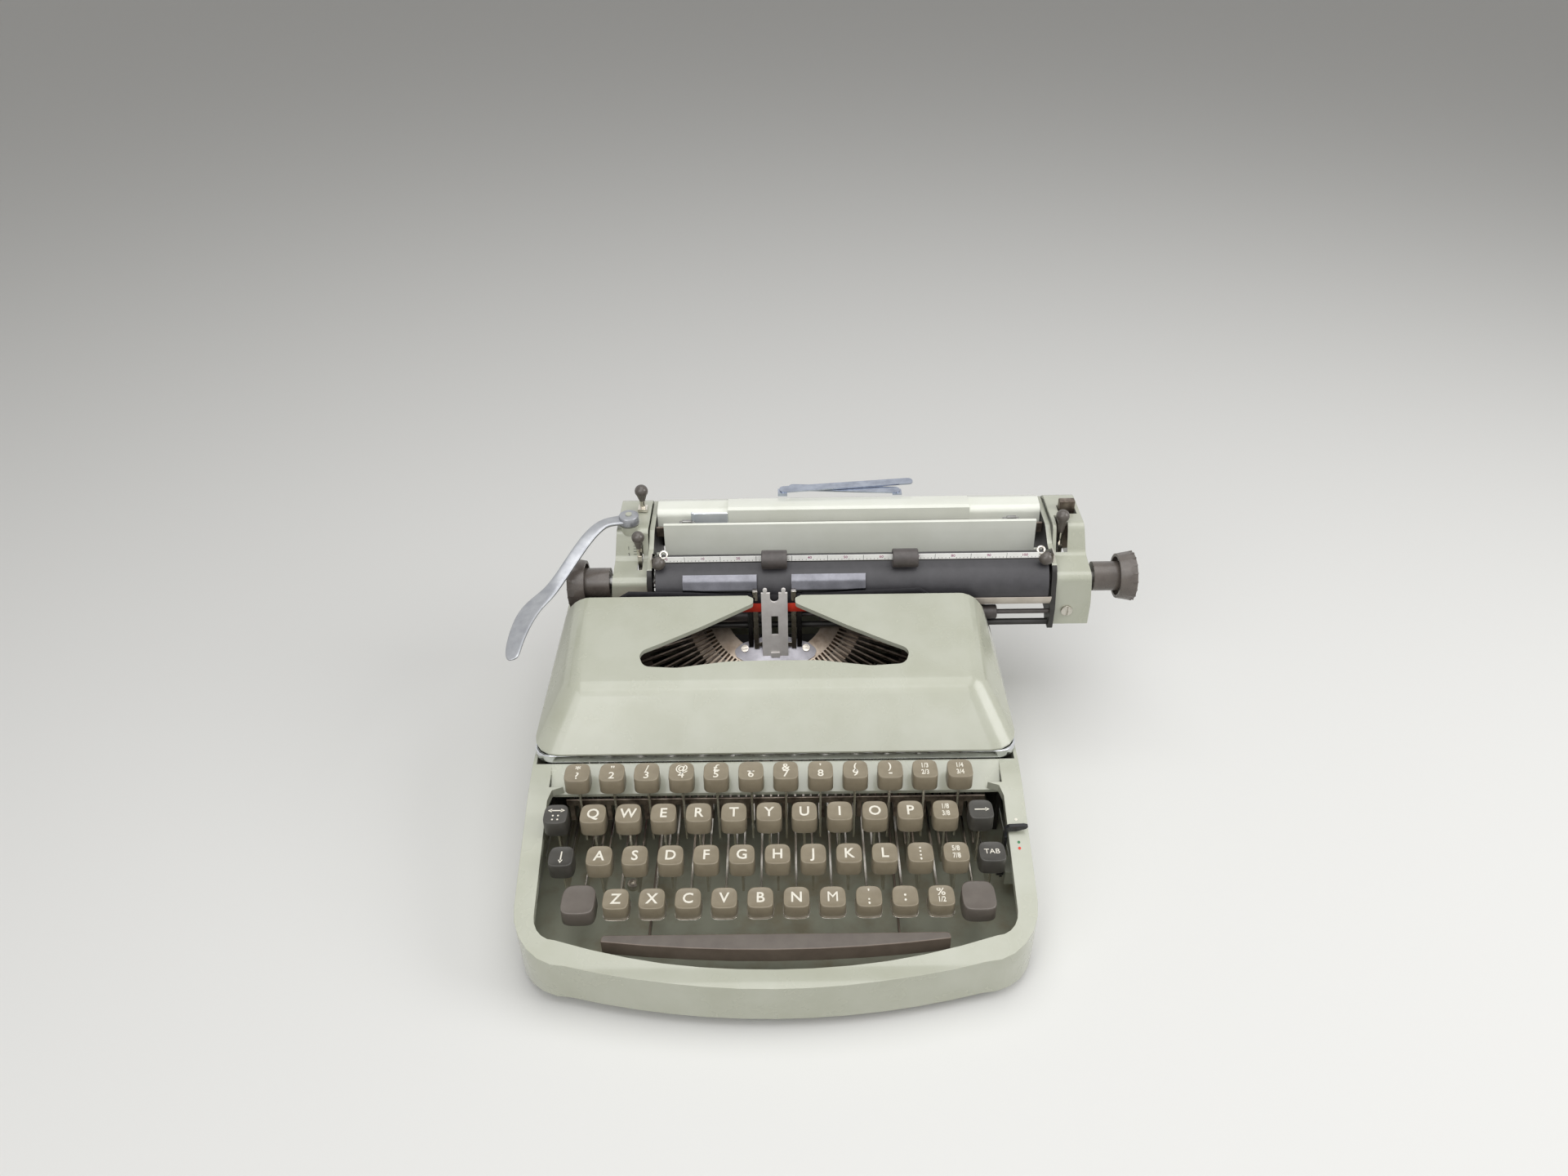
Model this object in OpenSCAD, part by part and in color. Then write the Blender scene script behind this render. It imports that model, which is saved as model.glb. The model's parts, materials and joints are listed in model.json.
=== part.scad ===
// Portable typewriter on its four rubber feet. Millimetres, +Z up, front towards -Y.
// The origin is the middle of the four feet, on the surface they stand on.

/* [Housing] */
// Width of the housing
body_w = 274; // [262:1:290]
// From the origin to the front of the lip
body_front = 154; // [152:1:160]
// From the origin to the rear panel
body_rear = 140; // [138:1:150]
// How far the lip bows forward between its ends
lip_bow = 14; // [6:1:18]
// Height of the lip's top
lip_h = 34; // [28:1:36]
// Height of the side rims beside the rear of the key well
rim_h = 66; // [60:1:68]
// Height of the deck in front of the ribbon cover
deck_h = 70; // [68:1:72]
// Wall of the housing
wall = 2; // [1.2:0.1:2.4]
// Radius of the housing's front corners
corner_r = 30; // [18:1:34]
// Height of the housing's lower edge
skirt_z = 8; // [6:0.5:8.5]
// Width of a side rim
rim_w = 11; // [9:0.5:11]
// Thickness of the bottom plate
plate_t = 1.5; // [1:0.1:2]

/* [Feet] */
// Height of a rubber foot
foot_h = 9; // [9:0.5:12]
// Radius of a rubber foot
foot_r = 11; // [8:0.5:13]
// Half the distance between the feet from side to side
foot_x = 110; // [100:1:114]
// Half the distance between the feet from front to rear
foot_y = 118; // [100:1:120]
// Radius of the screw hole in a foot
foot_bore_r = 3; // [2:0.1:4]
// Depth of the screw hole in a foot
foot_bore_h = 8; // [5:0.5:8]

/* [Ribbon cover] */
// Height of the cover's front ridge
ridge_z = 106; // [102:1:108]
// How far the ridge lies behind the cover's front edge
ridge_run = 25; // [18:1:30]
// Rise of the cover's top from the ridge to the rear edge
top_rise = 13; // [8:0.5:14]
// Place of the cover's rear edge
cover_rear = 61.5; // [58:0.5:62]
// How much each side leans in from bottom to top
side_lean = 10; // [6:1:14]
// Wall of the cover
cover_wall = 1.6; // [1:0.1:2]
// Edge rounding of the cover
cover_round = 16; // [10:1:18]
// Edge rounding at the cover's front corners
front_round = 18; // [10:1:19]
// Half the length of the opening over the typebars
opening_half = 76.5; // [60:0.5:80]

/* [Keyboard] */
// Distance between neighbouring keys
key_pitch = 19; // [18.6:0.1:19.2]
// Step between rows from front to rear
row_depth = 19; // [18:0.5:19.5]
// Step between rows in height
row_rise = 12; // [10:0.5:12.5]
// Place of the number row
number_y = -50; // [-51:0.5:-49.5]
// Height of the number row's key tops
number_z = 82; // [80:0.5:84]
// Width of a key top
cap_w = 14.6; // [12:0.1:15]
// Depth of a key top
cap_d = 14.8; // [12:0.1:15]
// Height of a key top
cap_h = 9; // [6:0.5:9.5]
// Thickness of a key lever
lever_t = 1.2; // [0.8:0.1:1.4]
// Height of a key lever
lever_h = 7; // [5:0.5:8]
// Place of the rod that the key levers turn on
rod_y = 95; // [92:0.5:96]
// Height of that rod
rod_z = 31; // [30:0.5:32]
// Radius of that rod
rod_r = 2; // [1.5:0.1:2.5]
// From the front of the lip to the rear edge of the space bar
space_gap = 33; // [30:0.5:36]
// Length of the space bar
space_w = 182; // [150:1:186]
// Height of the space bar's top
space_z = 34; // [33:0.5:35]

/* [Typebar segment] */
// Slope of the segment from level
seg_tilt = 35; // [34:0.5:36]
// Radius at which the typebars turn
seg_r = 49.5; // [48.5:0.5:50.5]
// Height of the printing point over the segment
strike_h = 40; // [39:0.5:41]
// Inner radius of the segment
seg_in = 32.7; // [32:0.1:34]
// Outer radius of the segment
seg_out = 57; // [56:0.5:58]
// Thickness of the segment
seg_t = 12; // [10:0.5:12]
// Angle between neighbouring typebars
bar_step = 3.2; // [3:0.05:3.25]
// Thickness of a typebar
bar_t = 1.2; // [0.8:0.1:1.3]
// How far the resting typebars stand over the segment's slope
bar_rest = 18; // [16:0.5:19]

/* [Carriage] */
// Where the carriage stands, from the middle of the housing
carriage_x = 47.5; // [-60:0.5:60]
// Length of the platen
platen_len = 240; // [230:1:244]
// Radius of the platen
platen_r = 16.5; // [15:0.25:16.75]
// Place of the platen's axis
platen_y = 84; // [83.5:0.25:85]
// Height of the platen's axis
platen_z = 113.5; // [113:0.25:114.5]
// Radius of the platen's shaft
shaft_r = 4; // [3:0.1:4.5]
// How much an end cover narrows towards its top
end_lean = 4; // [2:0.5:5]
// Thickness of the carriage's side plates
side_t = 3; // [2:0.1:3.5]
// Width of an end cover
end_w = 23; // [18:0.5:26]
// Radius of a knob's wide end
knob_r = 15.6; // [12:0.1:16]
// Radius of a knob's neck
knob_neck_r = 9.1; // [7:0.1:9.5]
// Length of a knob
knob_len = 25; // [20:0.5:32]

/* [Ribbon] */
// Radius of a ribbon spool
spool_r = 20.5; // [18:0.5:21]
// Height of the ribbon
ribbon_h = 13; // [12.5:0.5:13]
// Place of the spools from side to side
spool_x = 102; // [101:0.5:102.5]
// Place of the spools from front to rear
spool_y = 22; // [20:0.5:23]
// Height of the spools' lower flange
spool_z = 85; // [84.5:0.5:85.5]

/* [Hidden] */
$fn = 48;
enamel = "#aab3a0";
key_color = "#8a7e70";
slate_color = "#45474b";
steel = "#b9bbb8";
black = "#26272a";
gap = 0.3;
run_gap = 0.05;
e = 0.01;

// Rounded outline: each corner is [x, y, radius]
function unit(v) = v / norm(v);
function turn(a, b) = a.x * b.y - a.y * b.x;
function corner_pts(p, q, r, n) =
    let (u = unit([p.x - q.x, p.y - q.y]), v = unit([r.x - q.x, r.y - q.y]),
        half = acos(max(-1, min(1, u * v))) / 2, reach = q[2] / tan(half),
        c = [q.x, q.y] + unit(u + v) * q[2] / sin(half),
        a = [q.x, q.y] + u * reach - c, b = [q.x, q.y] + v * reach - c,
        sweep = 180 - 2 * half, side = turn(a, b) > 0 ? 1 : -1)
    [for (k = [0:n]) let (t = side * sweep * k / n)
        c + [a.x * cos(t) - a.y * sin(t), a.x * sin(t) + a.y * cos(t)]];
function rounded(pts, n = 4) =
    let (m = len(pts))
    [for (i = [0:m - 1]) each (pts[i][2] > 0
        ? corner_pts(pts[(i + m - 1) % m], pts[i], pts[(i + 1) % m], n)
        : [[pts[i].x, pts[i].y]])];

// An outline in Y and Z, extruded along X from x0 to x1
module along_x(x0, x1) {
    translate([x0, 0, 0]) rotate([90, 0, 90]) linear_extrude(height = x1 - x0) children();
}

// An outline in X and Z, extruded along Y from y0 to y1
module along_y(y0, y1) {
    translate([0, y1, 0]) rotate([90, 0, 0]) linear_extrude(height = y1 - y0) children();
}

module rod_x(x0, x1, y, z, r) {
    translate([x0, y, z]) rotate([0, 90, 0]) cylinder(h = x1 - x0, r = r);
}

module rod_y_axis(x, y0, y1, z, r) {
    translate([x, y0, z]) rotate([-90, 0, 0]) cylinder(h = y1 - y0, r = r);
}

module box3(x, y, z) {
    translate([x[0], y[0], z[0]]) cube([x[1] - x[0], y[1] - y[0], z[1] - z[0]]);
}

module both_sides() {
    children();
    mirror([1, 0, 0]) children();
}

// Housing
half_w = body_w / 2;
rim_in = half_w - rim_w;
stem_d = 4;
stem_gap = 2;
well_rear = number_y + stem_d / 2 + stem_gap;
trim_y = number_y + cap_d / 2 + 10.6;
trim_h = 6;
cover_y0 = trim_y + 1;
cover_z0 = deck_h + trim_h;
side_top = cover_z0 - 0.4;
trim_run = 16;
well_edge_z = 60.8;
flange_h = 5;
plate_z = foot_h;
plate_top = plate_z + plate_t;

function bow_y(x) = -body_front + lip_bow * pow(x / (half_w - corner_r), 2);

function housing_plan(inset) =
    let (w = half_w - inset, f = inset, x1 = half_w - corner_r)
    concat(
        [for (k = [-6:6]) let (x = k / 6 * x1) [x, bow_y(x) + f]],
        [for (k = [1:6]) let (a = -90 + 15 * k, y0 = bow_y(x1) + corner_r)
            [x1 + (corner_r - f) * cos(a), y0 + (corner_r - f) * sin(a)]],
        [[w, body_rear - f - 10], [w - 3, body_rear - f - 3], [w - 10, body_rear - f]],
        [[-w + 10, body_rear - f], [-w + 3, body_rear - f - 3], [-w, body_rear - f - 10]],
        [for (k = [6:-1:1]) let (a = -90 + 15 * k, y0 = bow_y(x1) + corner_r)
            [-x1 - (corner_r - f) * cos(a), y0 + (corner_r - f) * sin(a)]]);

function rim_at(y) = lip_h + (rim_h - lip_h) * (y + body_front - 14) / (number_y + body_front - 14);

function housing_side(drop, low) = rounded([
    [-body_front - 1, low, 0],
    [-body_front - 1, lip_h - drop - 1, 0],
    [-body_front + 4, lip_h - drop, 0],
    [-body_front + 14, lip_h - drop, 20],
    [number_y, rim_h - drop, 30],
    [trim_y, deck_h - drop, 0],
    [trim_y + trim_run + gap, deck_h - drop, 0],
    [trim_y + trim_run + gap + 0.1, side_top - drop, 0],
    [body_rear + 1, side_top - drop, 0],
    [body_rear + 1, low, 0]]);

module housing_solid(inset, drop, low) {
    intersection() {
        translate([0, 0, low]) linear_extrude(height = 120) polygon(housing_plan(inset));
        along_x(-half_w - 1, half_w + 1) polygon(housing_side(drop, low));
    }
}

function well_plan() =
    let (f = rim_w, x1 = rim_in - 12)
    concat(
        [for (k = [-6:6]) let (x = k / 6 * x1) [x, bow_y(x) + f]],
        [for (k = [1:5]) let (a = -90 + 18 * k) [x1 + 12 * cos(a), bow_y(x1) + f + 12 * (1 + sin(a))]],
        [[rim_in, well_rear - 8], [rim_in - 2, well_rear - 2], [rim_in - 8, well_rear]],
        [[-rim_in + 8, well_rear], [-rim_in + 2, well_rear - 2], [-rim_in, well_rear - 8]],
        [for (k = [5:-1:1]) let (a = -90 + 18 * k)
            [-x1 - 12 * cos(a), bow_y(x1) + f + 12 * (1 + sin(a))]]);

// The deck between the rims slopes down to the key well under the number row
module deck_slope(low, high) {
    polygon([[trim_y, deck_h - high], [well_rear, well_edge_z - high],
        [well_rear, well_edge_z - low], [trim_y, deck_h - low]]);
}

module base_housing() {
    color(enamel) difference() {
        union() {
            difference() {
                housing_solid(0, 0, skirt_z);
                housing_solid(wall, wall, skirt_z - 1);
            }
            intersection() {
                difference() {
                    housing_solid(0, 0, skirt_z);
                    housing_solid(-1, flange_h, skirt_z - 1);
                }
                translate([0, 0, skirt_z]) linear_extrude(height = 100) difference() {
                    polygon(well_wall_plan());
                    polygon(well_plan());
                }
            }
            box3([rim_in, half_w - wall + e], [pointer_y - 6, pointer_y + 6],
                [pointer_pin_z - 5, pointer_pin_z + 5]);
            along_x(-rim_in, rim_in) deck_slope(0, wall);
        }
        along_x(-rim_in, rim_in) deck_slope(-20, 0);
        translate([0, 0, skirt_z + 2]) linear_extrude(height = 100) polygon(well_plan());
        box3([-rim_in + 1, rim_in - 1], [well_rear - 3, trim_y], [0, well_edge_z - wall - 1.8]);
        box3([-half_w + wall, half_w - wall], [cover_y0, body_rear - wall], [deck_h - 8, 120]);
        box3([-half_w + 12, half_w - 12], [body_rear - wall - 1, body_rear + 1], [24, 120]);
    }
}

function well_wall_plan() = [for (p = well_plan())
    let (d = unit([p.x, p.y - (well_rear - 45)])) [p.x + wall * sign(p.x) * min(1, abs(d.x) * 2),
        p.y + wall * sign(d.y) * min(1, abs(d.y) * 2)]];

module bottom_plate() {
    color(black) translate([0, 0, plate_z]) linear_extrude(height = plate_t)
        polygon(housing_plan(wall + gap));
}

module rubber_feet() {
    color(black) for (x = [-foot_x, foot_x], y = [-foot_y, foot_y]) {
        translate([x, y, 0]) difference() {
            rotate_extrude() polygon([[0, 0], [foot_r - 1.5, 0], [foot_r, 1.5],
                [foot_r, foot_h - 3], [foot_r - 2, foot_h], [0, foot_h]]);
            translate([0, 0, -1]) cylinder(h = foot_bore_h + 1, r = foot_bore_r);
        }
    }
}

// Chassis
chassis_x = half_w - 9;
chassis_t = 2.5;
rail_y0 = 116;
rail_y1 = 130;
rail_z0 = 78;
beam_z = 88;
cup_z = spool_z - 2.5;
cup_wall = 1.2;
seg_bar_z = 64.5;

// Segment frame: its centre line meets the printing point
strike_y = platen_y - platen_r + 1.5;
strike_z = platen_z + 7;
seg_y = strike_y + strike_h * sin(seg_tilt);
seg_z = strike_z - strike_h * cos(seg_tilt);
fan_count = 44;
fan_first = -22;
bar_reach = strike_h - 6.6;
bar_len = sqrt(seg_r * seg_r + bar_reach * bar_reach);
bar_h = 5;
bar_tip = 1.6;
hub_r = 3;
slot_gap = 0.15;
rest_r = 89;

// In this frame +Y is down the slope towards the front and +Z stands over the segment
module segment_frame() {
    translate([0, seg_y, seg_z]) rotate([seg_tilt, 0, 0]) mirror([0, 1, 0]) children();
}

module fan_place(i) {
    rotate([0, 0, -i * bar_step]) children();
}

module sector(r0, r1, half, h0, h1) {
    translate([0, 0, h0]) rotate([0, 0, 90 - half])
        rotate_extrude(angle = 2 * half) translate([r0, 0]) square([r1 - r0, h1 - h0]);
}

fan_half = -fan_first * bar_step + 3;
seg_top = 2.5;

module type_segment() {
    color(steel) union() {
        segment_frame() difference() {
            sector(seg_in, seg_out, fan_half, seg_top - seg_t, seg_top);
            for (i = [fan_first:fan_first + fan_count - 1])
                fan_place(i) translate([-bar_t / 2 - slot_gap, seg_r - 6, -hub_r - 1.2])
                    cube([bar_t + 2 * slot_gap, 20, 20]);
            guide_screw_places() translate([0, 0, -2]) cylinder(h = 10, r = 1.25);
        }
        both_sides() box3([40, 50], [82, 92], [seg_bar_z, seg_z - seg_t - 4]);
    }
}

// One typebar in the Y and Z plane of its slot, with its type slug
module typebar(i) {
    fan_place(i) translate([0, seg_r, 0]) rotate([bar_rest, 0, 0]) {
        along_x(-bar_t / 2, bar_t / 2) polygon(concat(
            [for (k = [0:8]) let (a = 90 + 22.5 * k) [hub_r * cos(a), hub_r * sin(a)]],
            [[bar_len - 6, -bar_h / 2 + 1], [bar_len - 2, -bar_h / 2 + 0.5],
                [bar_len, bar_tip], [bar_len - 16, bar_tip], [14, bar_h / 2]]));
        along_x(-2.1, 2.1) polygon([[bar_len - 3.6, 1], [bar_len + 1.2, 1],
            [bar_len + 1.2, bar_h / 2 + 1.6], [bar_len - 3.6, bar_h / 2 + 1.6]]);
    }
}

module typebars() {
    color(steel) segment_frame() for (i = [fan_first:fan_first + fan_count - 1])
        if (i != 0) typebar(i);
}

module typebar_h() {
    color(steel) segment_frame() typebar(0);
}

rest_top = (rest_r - seg_r) * tan(bar_rest) - bar_h / 2 - gap;

module type_rest() {
    color(black) union() {
        segment_frame() sector(rest_r - 3, rest_r + 3, fan_half + 3, rest_top - 6, rest_top - 1.4);
        both_sides() box3([84, chassis_x], [58, 68], [72, 78.7]);
    }
}

guide_y = strike_y - 7.4;
guide_top = 119.6;
guide_horn_x = 5.6;
guide_horn_z = 121.6;
guide_eye_z = 115.4;
guide_eye_r = 2.6;
guide_w = 8;
guide_t = 1.4;
guide_foot = 70.6;
guide_slot = 4.2;
screw_x = 19.3;
screw_r = seg_in + 2.6;

module guide_screw_places() {
    both_sides() translate([screw_x, sqrt(screw_r * screw_r - screw_x * screw_x), 0]) children();
}

module type_guide() {
    color(steel) difference() {
        union() {
            along_y(guide_y, guide_y + guide_t) polygon([[-guide_w, guide_foot], [guide_w, guide_foot],
                [guide_w, guide_top], [-guide_w, guide_top]]);
            both_sides() {
                box3([guide_horn_x - 0.8, guide_horn_x + 0.8], [guide_y, guide_y + guide_t],
                    [guide_top - 1, guide_horn_z]);
                rod_y_axis(guide_horn_x, guide_y, guide_y + guide_t, guide_horn_z, 1.3);
            }
            box3([-2.7, 2.7], [guide_y - 1.2, guide_y + 0.2], [guide_foot, guide_foot + 3.6]);
            segment_frame() translate([0, 0, seg_top]) linear_extrude(height = 1.2)
                intersection() {
                    circle(r = seg_r - hub_r - 4, $fn = 96);
                    polygon(rounded([[guide_w, 21.8, 0], [21, 26, 3], [26, 30.5, 2.5], [22, 42, 2],
                        [-22, 42, 2], [-26, 30.5, 2.5], [-21, 26, 3], [-guide_w, 21.8, 0]]));
                }
        }
        box3([-guide_slot / 2, guide_slot / 2], [guide_y - 1, guide_y + 3], [87.6, 102.3]);
        rod_y_axis(0, guide_y - 1, guide_y + 3, guide_eye_z, guide_eye_r);
        box3([-guide_eye_r, guide_eye_r], [guide_y - 1, guide_y + 3], [guide_eye_z, guide_top + 1]);
        segment_frame() guide_screw_places() cylinder(h = 10, r = 1.3);
    }
}

module guide_screws() {
    color(steel) segment_frame() guide_screw_places() difference() {
            union() {
                translate([0, 0, seg_top + 1.2]) cylinder(h = 1.4, r = 2.4);
                translate([0, 0, -1.5]) cylinder(h = seg_top + 3, r = 1.2);
            }
            translate([-3, -0.4, seg_top + 2]) cube([6, 0.8, 2]);
        }
}

function arc(r, a0, a1, n) = [for (k = [0:n]) let (a = a0 + (a1 - a0) * k / n)
    [r * cos(a), r * sin(a)]];

// Curved plates that hold the paper to the platen, on arms from the type guide
holder_x0 = 10.5;
holder_x1 = 55.7;
holder_arm_x = 13.7;

module card_holders() {
    color(steel) both_sides() union() {
        translate([0, platen_y, platen_z]) along_x(holder_x0, holder_x1) polygon(concat(
            arc(platen_r + 1.8, 168, 133, 8), arc(platen_r + 1.2, 133, 168, 8)));
        box3([holder_arm_x, holder_arm_x + 3], [strike_y - 3.3, strike_y - 2.1],
            [74.9, platen_z + 3.2]);
    }
}

module chassis_side() {
    difference() {
        along_x(chassis_x, chassis_x + chassis_t) polygon([[-30, plate_top + 0.2],
            [134, plate_top + 0.2], [134, rail_z0 - 0.2], [70, rail_z0 - 0.2], [70, 79.5],
            [54, 79.5], [54, 60], [44, 60], [40, cup_z - 0.1], [4, cup_z - 0.1], [-4, 56],
            [-30, 50]]);
        rod_x(chassis_x - 1, chassis_x + 4, rod_y, rod_z, rod_r + run_gap);
    }
}

drum_x = -98;
drum_y = 117;
drum_z = 52;
drum_r = 16;

module chassis_frame() {
    color(black) union() {
        both_sides() chassis_side();
        box3([-chassis_x - 0.1, chassis_x + 0.1], [82, 92], [seg_bar_z - 6, seg_bar_z]);
        box3([-chassis_x - 0.1, chassis_x + 0.1], [124, 132], [plate_top + 0.2, plate_top + 4]);
        difference() {
            box3([-chassis_x - 0.1, drum_x + 14], [103, 133], [drum_z - 5, drum_z - 3]);
            translate([drum_x, drum_y, 0]) cylinder(h = 90, r = 3 + run_gap);
        }
    }
}

module key_pivot_rod() {
    color(steel) rod_x(-chassis_x - chassis_t, chassis_x + chassis_t, rod_y, rod_z, rod_r);
}

module carriage_rail() {
    color(steel) difference() {
        union() {
            box3([-chassis_x - chassis_t, chassis_x + chassis_t], [rail_y0, rail_y1],
                [rail_z0, beam_z - gap]);
            box3([wheel_x - 7, wheel_x + 7], [rail_y0, rail_y0 + 6], [wheel_z - 7, rail_z0 + 1]);
        }
        rod_y_axis(wheel_x, rail_y0 - 1, rail_y0 + 7, wheel_z, wheel_axle_r + run_gap);
        box3([-200, 200], [rail_y0 + 5, rail_y0 + 9], [beam_z - 3, beam_z + 1]);
    }
}

wheel_x = 8;
wheel_r = 10.6;
wheel_z = beam_z - 2.9 - wheel_r;
wheel_axle_r = 2;

module escapement_wheel() {
    color(steel) union() {
        along_y(rail_y0 - 2.4, rail_y0 - 0.8) translate([wheel_x, wheel_z]) polygon([
            for (k = [0:31]) let (a = k * 11.25, r = k % 2 == 0 ? wheel_r : wheel_r - 1.6)
                [r * cos(a), r * sin(a)]]);
        rod_y_axis(wheel_x, rail_y0 - 5, rail_y0 + 5.5, wheel_z, wheel_axle_r);
    }
}

module mainspring_drum() {
    color(steel) translate([drum_x, drum_y, 0]) union() {
        translate([0, 0, drum_z - 5.5]) cylinder(h = 22, r = 3);
        difference() {
            translate([0, 0, drum_z - 2.7]) cylinder(h = 15, r = drum_r);
            translate([0, 0, drum_z + 3]) rotate_extrude()
                translate([drum_r - 1.5, 0]) square([3, 4]);
        }
    }
}

module rear_panel() {
    color(enamel) box3([-half_w + 12.3, half_w - 12.3],
        [body_rear - wall - gap, body_rear - gap], [24.3, side_top]);
}

module margin_bell() {
    color(steel) translate([-48, 117, 0]) union() {
        translate([0, 0, plate_top + 0.1]) cylinder(h = 40, r = 2.5);
        translate([0, 0, 38]) rotate_extrude() polygon(concat(
            arc(15, 0, 90, 8), arc(13.6, 90, 0, 8)));
    }
}

// Ribbon cover, with an opening over the typebars that runs out to the rear
cover_bottom = cover_z0;
cover_half = half_w;
opening_front = 7.2;

module cover_form(s) {
    top = cover_half - side_lean;
    hull() {
        translate([0, 0, cover_bottom]) linear_extrude(height = 1) polygon(rounded([
            [-cover_half + s, cover_y0 + s, cover_round], [cover_half - s, cover_y0 + s, cover_round],
            [cover_half - s, cover_rear + 20, 0], [-cover_half + s, cover_rear + 20, 0]]));
        both_sides() {
            translate([top - front_round, cover_y0 + ridge_run + 10, ridge_z - front_round + 0.6])
                sphere(r = front_round - s, $fn = 32);
            translate([top - cover_round, cover_rear + 12, ridge_z + top_rise - cover_round + 1.5])
                sphere(r = cover_round - s, $fn = 32);
        }
    }
}

function opening_plan() =
    let (s = opening_half / 76.5, r = [[16, cover_rear + 8, 0], [16, cover_rear - 0.2, 1.2],
        [12.6, cover_rear - 2.2, 1.6], [12.8, 55.2, 2.5], [43 * s, 37.6, 60],
        [66 * s, 25.4, 14], [79 * s, 19, 5.4], [75.5 * s, opening_front + 1.4, 6],
        [56 * s, opening_front, 26], [26 * s, opening_front + 4.4, 60], [0, opening_front + 4.6, 0]])
    rounded(concat(r, [for (k = [9:-1:0]) [-r[k][0], r[k][1], r[k][2]]]), 7);

module ribbon_cover() {
    color(enamel) difference() {
        cover_form(0);
        translate([0, 0, -1.01]) cover_form(cover_wall);
        box3([-half_w - 1, half_w + 1], [cover_rear, cover_rear + 60],
            [cover_bottom - 40, ridge_z + 40]);
        box3([-half_w - 1, half_w + 1], [cover_y0 - 1, cover_rear + 60],
            [cover_bottom - 40, cover_bottom]);
        translate([0, 0, cover_bottom + 2]) linear_extrude(height = 70) polygon(opening_plan());
    }
}

module chrome_trim() {
    color("silver") difference() {
        translate([0, 0, deck_h + 0.3]) linear_extrude(height = trim_h - 0.6) polygon(rounded([
            [-half_w + 0.5, trim_y + 1.2, 10], [half_w - 0.5, trim_y + 1.2, 10],
            [half_w - 0.5, cover_rear, 0], [-half_w + 0.5, cover_rear, 0]]));
        translate([0, 0, deck_h - 1]) linear_extrude(height = trim_h + 2) polygon(rounded([
            [-half_w + 2, trim_y + 2.8, 9], [half_w - 2, trim_y + 2.8, 9],
            [half_w - 2, cover_rear + 1, 0], [-half_w + 2, cover_rear + 1, 0]]));
        box3([-half_w - 1, half_w + 1], [trim_y + trim_run, cover_rear + 2], [60, 90]);
    }
}

// Keys
function squircle(w, d, n) = [for (k = [0:n - 1]) let (a = 360 * k / n, c = cos(a), s = sin(a))
    [w / 2 * sign(c) * pow(abs(c), 0.5), d / 2 * sign(s) * pow(abs(s), 0.5)]];

module cap(w, d, h) {
    translate([0, 0, -h]) linear_extrude(height = h - 1) polygon(squircle(w, d, 24));
    translate([0, 0, -1.2]) linear_extrude(height = 1.2)
        polygon(squircle(w - 1.6, d - 1.6, 24));
}

lever_z = rod_z - lever_h / 2 - 0.5;

function row_y(r) = number_y - r * row_depth;
function row_z(r) = number_z - r * row_rise;

// A key with its stem and lever; the lever turns on the rod under the rear
module key(x, r, w, d) {
    key_at(x, row_y(r), row_z(r), w, d);
}

module key_at(x, y, z, w, d) {
    translate([x, y, z]) cap(w, d, cap_h);
    along_x(x - lever_t / 2, x + lever_t / 2) difference() {
        union() {
            polygon([[y - stem_d / 2, z - cap_h + 1], [y - stem_d / 2, lever_z + 3],
                [y + stem_d / 2, lever_z],
                [rod_y, lever_z], [rod_y, lever_z + lever_h], [y + 8, lever_z + lever_h],
                [y + stem_d / 2 + 0.5, lever_z + lever_h + 5], [y + stem_d / 2, z - cap_h + 1]]);
            translate([rod_y, rod_z]) circle(r = rod_r + 2.2);
        }
        translate([rod_y, rod_z]) circle(r = rod_r + run_gap);
    }
}

number_x = -107.9;
q_x = number_x + 9.8;
a_x = q_x + 4.4;
z_x = a_x + 9.8;
h_index = 5;

module number_row_keys() {
    color(key_color) for (k = [0:11]) key(number_x + k * key_pitch, 0, cap_w, cap_d);
}

module q_row_keys() {
    color(key_color) for (k = [0:10]) key(q_x + k * key_pitch, 1, cap_w, cap_d);
}

module a_row_keys() {
    color(key_color) for (k = [0:10]) if (k != h_index) key(a_x + k * key_pitch, 2, cap_w, cap_d);
}

module z_row_keys() {
    color(key_color) for (k = [0:9]) key(z_x + k * key_pitch, 3, cap_w, cap_d);
}

module key_h() {
    color(key_color) key(a_x + h_index * key_pitch, 2, cap_w, cap_d);
}

shift_left_x = -103.6;
shift_right_x = 106.6;
shift_w = 18.6;
shift_bar_z = 12.7;

module shift_keys() {
    color(slate_color) union() {
        key_at(shift_left_x, row_y(3), row_z(3), shift_w, shift_w + 1);
        key_at(shift_right_x, row_y(3), row_z(3), shift_w, shift_w + 1);
        box3([shift_left_x - lever_t / 2, shift_right_x + lever_t / 2], [68, 72],
            [shift_bar_z, shift_bar_z + 3]);
        for (x = [shift_left_x, shift_right_x])
            box3([x - lever_t / 2, x + lever_t / 2], [68, 72], [shift_bar_z, lever_z + 1]);
    }
}

module shift_lock_key() {
    color(slate_color) key_at(-114, row_y(2), row_z(2), 13.6, cap_d);
}

module margin_release_key() {
    color(slate_color) key_at(-118.2, row_y(1), row_z(1), 13.6, cap_d);
}

module backspace_key() {
    color(slate_color) key_at(q_x + 11 * key_pitch, row_y(1), row_z(1), 13.6, cap_d);
}

module tab_key() {
    color(slate_color) key_at(a_x + 11 * key_pitch, row_y(2), row_z(2), cap_w, cap_d);
}

space_y = space_gap - body_front;

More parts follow.
